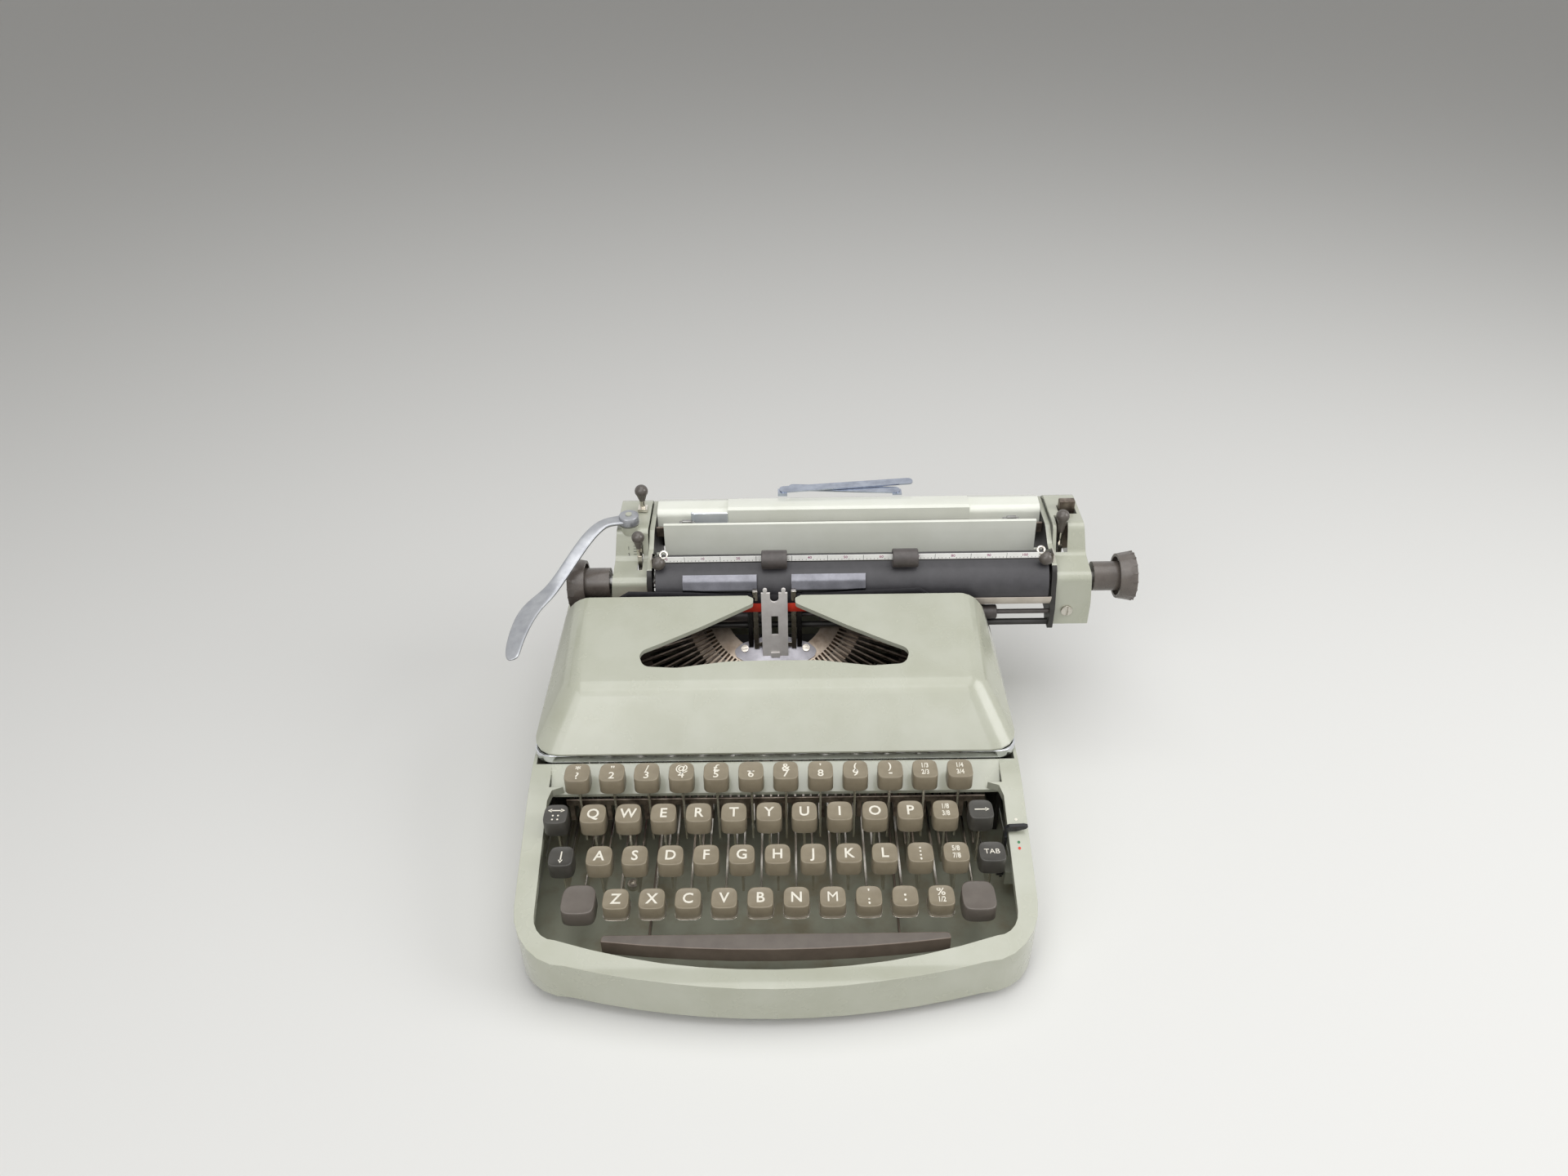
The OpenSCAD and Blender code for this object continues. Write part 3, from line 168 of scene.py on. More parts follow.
# Nickel plate of the type guide's wings, brushed, painted grey as the reflection of the dark well, with a
# short sheen
guideReflectionNickel = finish("guideWellReflectionNickel", "#949297", "#7c7a7f", 8, 0.6, 0.08, 0.32, 0.08, Metallic=0.7)
# Chromed spring steel sheet, painted dark as the reflection of a darker room
holderReflectionChrome = finish("chromedSpringSheetReflection", "#77777d", "#5f5f64", 14, 1.2, 0.05, 0.16, 0.05, Metallic=1.0)
# Tinplate, polished: painted nearly white with a faint blue as the reflection of a cool light
reflectionTinSheet = finish("polishedTinSheetReflection", "#eaf0f3", "#d5dee4", 14, 1.0, 0.02, 0.12, 0.04, Metallic=0.35)
# Chrome plate on the trim: a clear mirror
brightChrome = finish("brightChromePlate", "#d8dadd", "#c3c5c8", 12, 1.5, 0.03, 0.12, 0.04, Metallic=1.0)
# Chrome plate, tinted blue as a painted reflection of the room's cooler light
coolReflectionChrome = finish("coolReflectionChromePlate", "#aeb4c0", "#9096a3", 10, 1.2, 0.03, 0.16, 0.04, Metallic=1.0)
# Spring steel, ground: mid grey with a broad sheen
springSteel = finish("springSteel", "#a5a5a3", "#6f6c68", 7, 0.5, 0.1, 0.38, 0.1, Metallic=1.0)
# Rolled steel left bare and browned by old oil: patchy, with a dull sheen
oiledSteel = finish("oilBrownedSteel", "#8b8075", "#4c423a", 6, 0.6, 0.15, 0.42, 0.1, (0.35, 0.7),
                    Metallic=0.9)
# Blackened steel under oil: nearly black and dull
darkSteel = finish("oiledBlackSteel", "#2e2c2a", "#211f1d", 10, 0.7, 0.15, 0.5)
# Die-cast aluminium alloy, polished by the hand to a satin grey
satinAlloy = finish("satinCastAlloy", "#a9abae", "#93959a", 9, 0.35, 0.1, 0.34, 0.06, Metallic=0.75)
# Ground rubber of the platen, hardened by age: slate-black and lightly scuffed
platenRubber = finish("platenRubber", "#3a393c", "#454447", 7, 0.3, 0.15, 0.5)
# Moulded rubber of the feet: black and dry
footRubber = finish("footRubber", "#1c1c1d", "#242425", 4, 0.3, 0.2, 0.75)
# Moulded rubber of the small rollers, browned and polished by paper
rollerRubber = finish("bailRollerRubber", "#4d4745", "#3f3a38", 4, 0.3, 0.12, 0.42)
# Wool felt soaked with oil: dark and without any shine
darkFelt = finish("dampingFelt", "#3a2f27", "#2b231d", 3, 0.4, 0.4, 0.9)
# Bakelite, moulded: black and glossy
blackBakelite = finish("blackBakelite", "#232426", "#2c2d2f", 5, 0.4, 0.05, 0.25)
# Cellulose acetate moulding of the levers' grips: smoky grey, glossy
gripPlastic = finish("gripMoulding", "#5d5751", "#524c47", 5, 0.4, 0.05, 0.24)
# Cellulose acetate moulding of the platen knobs: smoky, a little duller
knobPlastic = finish("smokyKnobMoulding", "#665f59", "#544d48", 6, 0.5, 0.06, 0.28)
# White enamel paint of the scale, sprayed: bright and smooth
scaleWhite = finish("scaleEnamel", "#fbfbf8", "#f0efec", 9, 0.6, 0.04, 0.3)
# Cream enamel paint on the paper pan's front, yellowed
paleSheet = finish("paleSheetEnamel", "#cfc6bb", "#bdb3a7", 12, 0.6, 0.06, 0.36)
# Carbon ink, dried into the ribbon and onto the marks: black and flat
inkBlack = finish("inkBlack", "#1d1c20", "#28272b", 3, 0.3, 0.1, 0.6)
# Red ink, dried into the ribbon: bright and flat
inkRed = finish("inkRed", "#e4432e", "#d43923", 3, 0.3, 0.1, 0.6)
# Violet printing ink of the scale's numbers, faded towards red
inkViolet = finish("inkViolet", "#8a4a80", "#a34668", 3, 0.3, 0.05, 0.6)
# Red enamel paint of the left spool, sprayed: a soft gloss
spoolRed = finish("spoolEnamelRed", "#a3281c", "#8c2218", 6, 0.5, 0.05, 0.35)
# Green enamel paint of one dot on the rim, brushed on: a soft gloss
dotGreen = finish("greenDotPaint", "#2f7a4a", "#2a6b41", 3, 0.3, 0.05, 0.4)
print("materials made")


# Modelling helpers. Every shape is built at the origin and then moved inside its mesh.
# Shared limits: the welding distance in millimetres, the rest in degrees
limits = {"weld": 0.004, "flat": 0.6, "edge": 30, "smooth": 38}
bodyOf = {node: body for body, members in frame["record"]["behaviour"]["bodies"].items() for node in members}


def noneSelected():
    if bpy.context.object and bpy.context.object.mode != "OBJECT":
        bpy.ops.object.mode_set(mode="OBJECT")
    bpy.ops.object.select_all(action="DESELECT")


def only(piece):
    noneSelected()
    piece.select_set(True)
    bpy.context.view_layer.objects.active = piece


def moved(piece, place):
    piece.data.transform(Matrix.Translation(Vector(place) * mm))
    return piece


def shade(piece, angle=limits["smooth"]):
    only(piece)
    bpy.ops.object.shade_smooth_by_angle(angle=math.radians(angle))


def bevelled(piece, width, segments):
    only(piece)
    edge = piece.modifiers.new("edge", "BEVEL")
    edge.width = width * mm
    edge.segments = segments
    edge.limit_method = "ANGLE"
    edge.angle_limit = math.radians(limits["edge"])
    edge.harden_normals = False
    bpy.ops.object.modifier_apply(modifier="edge")


def dress(piece, body, *materials, slot, nodes=()):
    piece.data.materials.clear()
    for material in materials:
        piece.data.materials.append(material)
    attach(piece, body)
    if nodes:
        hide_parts(*nodes)


def twin(piece, name, offset=(0, 0, 0)):
    copy = bpy.data.objects.new(name, piece.data.copy())
    bpy.context.collection.objects.link(copy)
    return moved(copy, offset)


def joined(name, parts):
    noneSelected()
    for part in parts:
        part.select_set(True)
    bpy.context.view_layer.objects.active = parts[0]
    if len(parts) > 1:
        bpy.ops.object.join()
    whole = bpy.context.object
    whole.name = name
    return whole


# A bar from its low and high sides along each axis, with broken edges
def plate(name, x, y, z, edge=0.1):
    noneSelected()
    bpy.ops.mesh.primitive_cube_add(size=1)
    piece = bpy.context.object
    piece.name = name
    piece.data.transform(Matrix.Diagonal([(high - low) * mm for low, high in (x, y, z)] + [1]))
    moved(piece, [(low + high) / 2 for low, high in (x, y, z)])
    if edge:
        bevelled(piece, edge, 1)
    return piece


# A closed stack of rings over one outline: each ring is (share of the outline, height)
def stack(name, rings, sides, width, depth, square=1.0):
    noneSelected()
    bpy.ops.mesh.primitive_circle_add(vertices=sides, radius=1, fill_type="NGON")
    piece = bpy.context.object
    piece.name = name
    for v in piece.data.vertices:
        x, y = v.co.x, v.co.y
        v.co.x = math.copysign(abs(x) ** square, x)
        v.co.y = math.copysign(abs(y) ** square, y)
    bpy.ops.object.mode_set(mode="EDIT")
    bpy.ops.mesh.select_all(action="SELECT")
    share, height = rings[0]
    bpy.ops.transform.resize(value=(share, share, 1), center_override=(0, 0, 0))
    bpy.ops.transform.translate(value=(0, 0, height * mm))
    for (before, low), (after, high) in zip(rings, rings[1:]):
        bpy.ops.mesh.extrude_region_move(TRANSFORM_OT_translate={"value": (0, 0, (high - low) * mm)})
        bpy.ops.transform.resize(value=(after / before, after / before, 1), center_override=(0, 0, 0))
    bpy.ops.mesh.select_all(action="SELECT")
    bpy.ops.mesh.normals_make_consistent(inside=False)
    bpy.ops.object.mode_set(mode="OBJECT")
    piece.data.transform(Matrix.Diagonal((width * mm / 2, depth * mm / 2, 1, 1)))
    return piece


# A section drawn through stations: each is (place, half width, half thickness, roll in degrees)
def loft(name, stations, sides, square):
    noneSelected()
    bpy.ops.mesh.primitive_circle_add(vertices=sides, radius=1, fill_type="NGON")
    piece = bpy.context.object
    piece.name = name
    outline = [[math.copysign(abs(c) ** square, c) for c in v.co.xy] for v in piece.data.vertices]
    places = [Vector(station[0]) for station in stations]
    rings = []
    for k, (_, half, thick, roll) in enumerate(stations):
        along = (places[min(k + 1, len(places) - 1)] - places[max(k - 1, 0)]).normalized()
        side = along.cross(Vector((0, 0, 1))).normalized()
        up = side.cross(along).normalized()
        c, s = math.cos(math.radians(roll)), math.sin(math.radians(roll))
        across, over = (side * c + up * s) * half, (up * c - side * s) * thick
        rings.append([(places[k] + across * x + over * y) * mm for x, y in outline])
    for v, place in zip(piece.data.vertices, rings[0]):
        v.co = place
    bpy.ops.object.mode_set(mode="EDIT")
    bpy.ops.mesh.select_all(action="SELECT")
    for old, new in zip(rings, rings[1:]):
        bpy.ops.mesh.extrude_region_move()
        bpy.ops.object.mode_set(mode="OBJECT")
        for v in [v for v in piece.data.vertices if v.select]:
            near = min(range(sides), key=lambda i: (v.co - old[i]).length_squared)
            v.co = new[near]
        bpy.ops.object.mode_set(mode="EDIT")
    bpy.ops.mesh.select_all(action="SELECT")
    bpy.ops.mesh.normals_make_consistent(inside=False)
    bpy.ops.object.mode_set(mode="OBJECT")
    return piece


# The CAD node's own shape with its edges broken, as a new piece; a cut is (place, outer side) in metres
def edged(node, name, width, segments, cut=None):
    piece = bpy.data.objects.new(name, frame["nodes"][node].data.copy())
    bpy.context.collection.objects.link(piece)
    only(piece)
    bpy.ops.object.mode_set(mode="EDIT")
    bpy.ops.mesh.select_all(action="SELECT")
    bpy.ops.mesh.remove_doubles(threshold=limits["weld"] * mm)
    if cut:
        bpy.ops.mesh.bisect(plane_co=cut[0], plane_no=cut[1], use_fill=True, clear_outer=True)
        bpy.ops.mesh.select_all(action="SELECT")
    bpy.ops.mesh.dissolve_limited(angle_limit=math.radians(limits["flat"]))
    bpy.ops.mesh.customdata_custom_splitnormals_clear()
    bpy.ops.object.mode_set(mode="OBJECT")
    if width:
        bevelled(piece, width, segments)
    shade(piece)
    even = piece.modifiers.new("even", "WEIGHTED_NORMAL")
    even.keep_sharp = True
    bpy.ops.object.modifier_apply(modifier="even")
    return piece


# A CAD node where a rule on each face's middle, in millimetres, picks its material
def painted(node, name, width, segments, rule, materials, slot):
    piece = edged(node, name, width, segments)
    dress(piece, bodyOf[node], *materials, slot=slot, nodes=(node,))
    for face in piece.data.polygons:
        face.material_index = rule(face.center / mm)


def lettering(name, words, size, place, extrude=0.08, turn=None, weight=0.0, shape=(1, 1)):
    noneSelected()
    bpy.ops.object.text_add()
    text = bpy.context.object
    text.data.body = words
    text.data.size = size * mm
    text.data.align_x = "CENTER"
    text.data.align_y = "CENTER"
    text.data.extrude = extrude * mm
    text.data.offset = weight * mm
    text.data.resolution_u = 3
    bpy.ops.object.convert(target="MESH")
    piece = bpy.context.object
    piece.name = name
    piece.data.transform(Matrix.Diagonal((shape[0], shape[1], 1, 1)))
    if turn:
        piece.data.transform(turn)
    return moved(piece, place)


# Keys, in millimetres. A cap's foot and crown are rings of (share of the outline, height). "narrow" draws
# its rear in, "bow" rounds its front and rear, "rimHighlight" is the low, high and share of the depth of the
# front rim painted pale as a highlight.
keys = {"pitch": 19, "cap": (14.0, 13.2, 10.0), "lastHeight": 9.0, "first": (-50, 82), "step": (19, 12),
        "starts": (-107.9, -98.1, -93.7, -83.9), "h": (2, 5), "foot": ((0.97, 0), (1.0, 0.5)),
        "crown": ((0.985, -1.4), (0.978, -0.5), (0.965, -0.14), (0.93, 0), (0.89, -0.08), (0.6, -0.4)),
        "middle": 0.25, "dish": 0.5, "square": 0.42, "narrow": (0.16, 2.6), "bow": (0.07, 0.6),
        "rimHighlight": (-0.5, -0.03, 0.15), "top": -0.9, "inlay": 0.14, "letter": 8.4, "letterLine": -0.2,
        "pair": 7.0, "fraction": 4.0, "line": 2.5, "weight": 0.13, "fine": 0.07, "points": ":;'\"_-",
        "edge": 0.25, "inside": 0.2, "under": 9.2}
legends = (("*|?", '"|2', "/|3", "@|4", "£|5", "_|6", "&|7", "'|8", "(|9", ")|-", "1/3|2/3", "1/4|3/4"),
           ("Q", "W", "E", "R", "T", "Y", "U", "I", "O", "P", "1/8|3/8"),
           ("A", "S", "D", "F", "G", "H", "J", "K", "L", ":|;", "5/8|7/8"),
           ("Z", "X", "C", "V", "B", "N", "M", "'|;", ":", "%|1/2"))
legendHeight = keys["inlay"] - keys["dish"]
rowNodes = ("number_row_keys", "q_row_keys", "a_row_keys", "z_row_keys")
# A key's four materials: top, sides painted darker as shade, legend and rim painted pale as a highlight
ureaKey = (keyTop, keyShadedSide, legendWhite, keyRimHighlight)
slateKey = (slateTop, slateShadedSide, legendWhite, slateRimHighlight)
brownKey = (brownTop, brownShadedSide, legendWhite, slateRimHighlight)


def rowPlace(row):
    return keys["first"][0] - row * keys["step"][0], keys["first"][1] - row * keys["step"][1]


# A cap: straight front with small corners, rounder rear corners, a crisp rim and a dished top
def capShape(width, depth, height):
    foot = [(share, up - height) for share, up in keys["foot"]]
    rings = [*foot, *keys["crown"], (keys["middle"], -keys["dish"])]
    cap = stack("capModel", rings, 56, width, depth, keys["square"])
    half = depth * mm / 2
    narrow, power = keys["narrow"]
    bow, rear = keys["bow"]
    for v in cap.data.vertices:
        back = max(0.0, v.co.y / half)
        v.co.x *= 1 - narrow * back ** power
        middle = 1 - min(1.0, abs(v.co.x) / (width * mm / 2)) ** 2
        v.co.y -= half * bow * middle * (1 if v.co.y < 0 else -rear)
    # Front rim faces get the painted highlight, faces below the top the painted shade
    low, high, front = keys["rimHighlight"]
    for face in cap.data.polygons:
        place = face.center / mm
        rimHighlight = low < place.z < high and place.y < -front * depth
        face.material_index = 3 if rimHighlight else 0 if place.z > keys["top"] else 1
    shade(cap, 50)
    return cap


def capLegend(text):
    lines = text.split("|")
    parts = []
    for k, words in enumerate(lines):
        size, y, shape = keys["letter"], keys["letterLine"], (1.0, 1.1)
        # The font's M folds over itself when it is thickened
        weight = 0 if words == "M" else keys["weight"]
        if len(lines) > 1:
            small = "/" in words and len(words) > 1
            size = keys["fraction"] if small else keys["pair"]
            shape = (0.85, 1.2) if small else (1.0, 1.0)
            weight = keys["weight"] if words in keys["points"] else keys["fine"]
            y = keys["line"] * (1 - 2 * k)
        parts.append(lettering("legend", words, size, (0, y, legendHeight), weight=weight, shape=shape))
    return joined("legend", parts)


def keyPiece(name, model, legend, place, body, materials):
    cap = twin(model, name)
    parts = [cap, legend] if legend else [cap]
    for part in parts:
        part.data.materials.clear()
        for material in materials:
            part.data.materials.append(material)
    if legend:
        for face in legend.data.polygons:
            face.material_index = 2
    whole = moved(joined(name, parts), place)
    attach(whole, body)


# The CAD node's stems and levers, cut off inside their caps
def keyLevers(node, name, body, height):
    levers = edged(node, name, keys["edge"], 1, cut=((0, 0, height * mm), (0, 0, 1)))
    dress(levers, body, brightNickel, slot="steel", nodes=(node,))


def makeKeys():
    width, depth, height = keys["cap"]
    for row, words in enumerate(legends):
        # The last row clears the space bar when it goes down
        tall = keys["lastHeight"] if row == len(legends) - 1 else height
        model = capShape(width, depth, tall)
        node = rowNodes[row]
        y, z = rowPlace(row)
        for k, text in enumerate(words):
            body = "key_h_body" if (row, k) == keys["h"] else node + "_body"
            keyPiece("keyCap_%d_%02d" % (row, k), model, capLegend(text),
                     (keys["starts"][row] + k * keys["pitch"], y, z), body, ureaKey)
        keyLevers(node, node + "_levers", node + "_body", z - tall + keys["inside"])
        bpy.data.objects.remove(model)
    keyLevers("key_h", "key_h_lever", "key_h_body", rowPlace(keys["h"][0])[1] - keys["under"])


# Machine keys, in millimetres: (node, x, row, width of the cap), the shift keys' caps, and their signs
machineKeys = {"places": (("margin_release_key", -118.2, 1, 13.2), ("backspace_key", 110.9, 1, 13.4),
                          ("shift_lock_key", -114.0, 2, 13.4), ("tab_key", 115.3, 2, 14.4)),
               "shiftPlaces": (("shift_cap_left", -103.6), ("shift_cap_right", 106.6)),
               "shift": (18.0, 18.4), "shaft": (6.6, 0.7, 0.16), "tip": 1.5, "reach": 3.2, "raise": 2.6,
               "tab": 4.6, "dot": 9, "dots": ((-1.4, 1.2), (-1.4, -1.6), (1.4, 1.2), (1.4, -1.6))}


def arrowSign(name, angle, both=False):
    length, wide, thick = machineKeys["shaft"]
    parts = [plate("shaft", (-length / 2, length / 2), (-wide / 2, wide / 2), (-thick / 2, thick / 2), 0)]
    for side in ((1, -1) if both else (1,)):
        bpy.ops.mesh.primitive_circle_add(vertices=3, radius=machineKeys["tip"] * mm, fill_type="NGON")
        tip = bpy.context.object
        tip.data.transform(Matrix.Rotation(math.radians(-90 * side), 4, "Z"))
        parts.append(moved(tip, (side * machineKeys["reach"], 0, thick / 2)))
    sign = joined(name, parts)
    sign.data.transform(Matrix.Rotation(math.radians(angle), 4, "Z"))
    return sign


def machineSign(node):
    if node == "tab_key":
        return lettering("sign", "TAB", machineKeys["tab"], (0, 0, legendHeight))
    if node == "margin_release_key":
        arrow = moved(arrowSign("arrow", 0, True), (0, machineKeys["raise"], legendHeight))
        dots = [lettering("dot", ".", machineKeys["dot"], (x, y, legendHeight))
                for x, y in machineKeys["dots"]]
        return joined("sign", [arrow] + dots)
    return moved(arrowSign("sign", 0 if node == "backspace_key" else -90), (0, 0, legendHeight))


def makeMachineKeys():
    depth, height = keys["cap"][1:]
    for node, x, row, width in machineKeys["places"]:
        y, z = rowPlace(row)
        model = capShape(width, depth, height)
        keyPiece(node + "_cap", model, machineSign(node), (x, y, z), node + "_body", slateKey)
        bpy.data.objects.remove(model)
        keyLevers(node, node + "_lever", node + "_body", z - keys["under"])
    y, z = rowPlace(len(legends) - 1)
    model = capShape(*machineKeys["shift"], height)
    for name, x in machineKeys["shiftPlaces"]:
        keyPiece(name, model, None, (x, y, z), "shift_keys_body", brownKey)
    bpy.data.objects.remove(model)
    keyLevers("shift_keys", "shift_levers", "shift_keys_body", z - keys["under"])


makeKeys()
makeMachineKeys()
print("keys made")


# Bodywork and mechanism that keep the CAD's shape: node, piece, edge in mm, segments, material, slot
plainPieces = (
    ("base_housing", "housingShell", 3.2, 5, enamel, "enamel"),
    ("ribbon_cover", "ribbonCoverShell", 0.75, 3, enamel, "enamel"),
    ("rear_panel", "rearPanel", 0.6, 2, enamel, "enamel"),
    ("left_end_cover", "leftEndCover", 1.6, 4, enamel, "enamel"),
    ("right_end_cover", "rightEndCover", 1.6, 4, enamel, "enamel"),
    # Back cover and paper table: enamel painted paler as the light on them
    ("carriage_back_cover", "carriageBackCover", 0.6, 2, litCarriageEnamel, "enamel"),
    ("paper_table", "paperTable", 0.6, 2, litCarriageEnamel, "enamel"),
    ("chrome_trim", "chromeTrim", 0.6, 2, brightChrome, "chrome"),
    ("bottom_plate", "bottomPlate", 0.3, 1, agedEnamel, "black_steel"),
    ("rubber_feet", "rubberFeet", 0.5, 2, footRubber, "rubber"),
    ("chassis_frame", "chassisFrame", 0.3, 1, darkSteel, "black_steel"),
    ("key_pivot_rod", "keyPivotRod", 0.2, 1, springSteel, "steel"),
    ("type_segment", "typeSegment", 0, 1, stainedNickel, "nickel"),
    ("type_rest", "typeRest", 0.4, 1, darkFelt, "black_steel"),
    ("guide_screws", "guideScrews", 0.2, 2, brightNickel, "nickel"),
    ("card_holders", "cardHolders", 0.2, 2, holderReflectionChrome, "chrome"),
    ("spool_cups", "spoolCups", 0.3, 1, darkSteel, "black_steel"),
    ("carriage_rail", "carriageRail", 0.3, 1, oiledSteel, "steel"),
    ("margin_bell", "marginBell", 0.2, 1, wornNickel, "nickel"),
    ("ribbon_spool_left", "ribbonSpoolLeft", 0.3, 1, spoolRed, "spool"),
    ("ribbon_spool_right", "ribbonSpoolRight", 0.3, 1, darkSteel, "spool"),
    ("ribbon_vibrator", "ribbonVibrator", 0.15, 1, brightNickel, "nickel"),
    ("ribbon_color_lever", "ribbonColorLever", 0.3, 2, blackBakelite, "black_plastic"),
    ("mainspring_drum", "mainspringDrum", 0.3, 1, springSteel, "steel"),
    ("escapement_wheel", "escapementWheel", 0.1, 1, springSteel, "steel"),
    ("end_cover_screws", "endCoverScrews", 0.3, 2, wornNickel, "nickel"),
    ("margin_rail", "marginRail", 0.2, 1, oiledSteel, "steel"),
    ("margin_stop_left", "marginStopLeft", 0.3, 2, springSteel, "steel"),
    ("margin_stop_right", "marginStopRight", 0.3, 2, springSteel, "steel"),
    ("paper_release_lever", "paperReleaseLever", 0.6, 2, oiledSteel, "grey_steel"),
    ("platen_rubber", "platenRubberRoll", 0.5, 2, platenRubber, "platen"),
    ("platen_shaft", "platenShaft", 0.3, 1, springSteel, "steel"),
    ("platen_knob_left", "platenKnobLeft", 0.6, 2, knobPlastic, "knob_plastic"),
    ("platen_knob_right", "platenKnobRight", 0.6, 2, knobPlastic, "knob_plastic"),
    ("line_ratchet", "lineRatchet", 0, 1, springSteel, "steel"),
    ("bail_rollers", "bailRollers", 0.8, 3, rollerRubber, "roller_rubber"),
    ("feed_rollers", "feedRollers", 0.3, 1, rollerRubber, "roller_rubber"),
    ("paper_supports", "paperSupports", 0.3, 2, coolReflectionChrome, "chrome"),
)
for node, name, width, segments, material, slotName in plainPieces:
    dress(edged(node, name, width, segments), bodyOf[node], material, slot=slotName, nodes=(node,))

# Places in millimetres where one material gives way to another
change = {"guideBack": 63.2, "frameTop": 126, "panFront": 72, "barTop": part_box("space_bar")[1][2] / mm - 1.2}

# Type guide: one nickel plate, its upright painted pale as a highlight in front of wings painted grey as a
# reflection of the well
painted("type_guide", "typeGuide", 0.3, 2, lambda p: 0 if p.y < change["guideBack"] else 1,
        (guideHighlightNickel, guideReflectionNickel), "nickel")

# Carriage frame: black plates whose top edges wear the covers' enamel
painted("carriage_frame", "carriageFrame", 0.3, 1, lambda p: 1 if p.z > change["frameTop"] else 0,
        (darkSteel, enamel), "black_steel")

# Typebars: shoulders painted bright as a highlight where they turn, darker arms beyond, in the segment's
# tilted plane
segment = {"y": 91.94, "z": 87.73, "tilt": math.radians(35), "shoulder": 57}


def barPart(p):
    y, z = segment["y"] - p.y, segment["z"] - p.z
    down = y * math.cos(segment["tilt"]) + z * math.sin(segment["tilt"])
    return 0 if math.hypot(p.x, down) < segment["shoulder"] else 1


for node, name in (("typebars", "typebarSet"), ("typebar_h", "typebarH")):
    painted(node, name, 0.15, 1, barPart, (brightNickel, oiledSteel), "nickel")

# Small levers: smoked grips on bright stems; each with the height where its grip starts
for node, name, start in (("line_space_lever", "lineSpaceLever", 134.2),
                          ("carriage_release_left", "carriageReleaseLeft", 148.2),
                          ("carriage_release_right", "carriageReleaseRight", 134.2)):
    painted(node, name, 0.2, 2, lambda p: 0 if p.z > start else 1, (gripPlastic, brightNickel),
            "black_plastic")

# Space bar: its front face painted paler than its top, as the light falling on it
painted("space_bar", "spaceBar", 0.9, 3, lambda p: 0 if p.z > change["barTop"] else 1,
        (brownTop, brownLitFront), "brown_plastic")

# Paper pan: bare steel under the platen, a pale sheet in front of it
painted("paper_pan", "paperPan", 0, 1, lambda p: 1 if p.y < change["panFront"] else 0,
        (springSteel, paleSheet), "steel")
print("bodywork made")


# Ribbon: black over red; its route from the right spool to the middle, and mirrored from there
ribbon = {"half": 3.25, "thick": 0.2, "route": ((97, 39.3, 98.3), (98, 43.9, 98.3), (100, 54, 104),
                                                (98.5, 61.9, 110), (94, 64.4, 116.5), (88, 64.4, 120.5),
                                                (50, 64.4, 119), (20, 64.4, 116.7))}


def makeRibbon():
    half = ribbon["half"]
    route = list(ribbon["route"]) + [(-x, y, z) for x, y, z in reversed(ribbon["route"])]
    for name, drop, material in (("ribbonBlackHalf", half, inkBlack), ("ribbonRedHalf", 3 * half, inkRed)):
        strip = loft(name, [((x, y, z - drop), ribbon["thick"], half, 0) for x, y, z in route], 8, 0.3)
        shade(strip, 50)
        dress(strip, "root_frame", material, slot="ribbon", nodes=("ribbon",))


makeRibbon()


# Return lever: a flat arm from the pivot, a twisted neck and a dished paddle with one broad shoulder.
# Its stations are on the carriage, which stands x to the right of the frame's middle.
lever = {"x": 47.5, "boss": (105, 147.2), "wide": 12.4,
         "rings": ((0.9, -3.6), (1, -3), (1, 1.8), (0.94, 2.4), (0.5, 2.7)),
         "stations": (((-137.3, 105, 146.5), 5.6, 1.4, 0), ((-145.5, 102.9, 146.6), 4.5, 1.4, 0),
                      ((-151.2, 101.7, 146.3), 4.2, 1.4, 2), ((-156, 97, 145.7), 4.1, 1.4, 6),
                      ((-162.1, 87.8, 143.1), 4.0, 1.4, 10), ((-168.9, 73.8, 138.3), 3.9, 1.4, 14),
                      ((-175.2, 60.6, 133.4), 3.8, 1.4, 10), ((-180.4, 50.6, 130.2), 4.7, 1.3, 2),
                      ((-186.2, 44.4, 128.2), 6.6, 1.2, -8), ((-190.8, 36.4, 126.8), 7.4, 1.2, -12),
                      ((-193.6, 23, 125), 6.5, 1.2, -16), ((-194.8, 10, 123.1), 5.4, 1.1, -16),
                      ((-194.3, 2, 122), 4.4, 1.0, -14), ((-194.1, -1.2, 121.6), 2.4, 0.8, -14))}


def makeReturnLever():
    stations = [((x + lever["x"], y, z), w, t, roll) for (x, y, z), w, t, roll in lever["stations"]]
    arm = loft("returnLeverArm", stations, 16, 0.6)
    smooth = arm.modifiers.new("smooth", "SUBSURF")
    smooth.levels = smooth.render_levels = 2
    only(arm)
    bpy.ops.object.modifier_apply(modifier="smooth")
    shade(arm, 60)
    dress(arm, "return_lever_body", satinAlloy, slot="satin_metal", nodes=("return_lever",))
    boss = stack("returnLeverBoss", lever["rings"], 40, lever["wide"], lever["wide"])
    moved(boss, (stations[0][0][0], *lever["boss"]))
    shade(boss, 40)
    dress(boss, "return_lever_body", satinAlloy, slot="satin_metal")


makeReturnLever()


# Paper bail: arms from the CAD, a white scale strip with a dark lower edge, ball grips and end rings.
# "in" is half the way between the arms, "cut" and "short" are what arms and strip end before it.
bail = {"x": 47.5, "y": 75.9, "z": 134.6, "in": 122.2, "low": 132.8, "high": 137.8, "dark": 1.0,
        "thick": 1.1, "face": 0.32, "back": 0.3, "ends": (-66.9, 162.8), "cut": 1.0, "short": 2,
        "gap": 0.2, "grip": 4.4, "gripPlace": (-0.4, -1.2), "ring": (2.1, 0.8, 54),
        "ringPlace": (3.4, 1.2, 3.6)}
bailBody = "paper_bail_body"


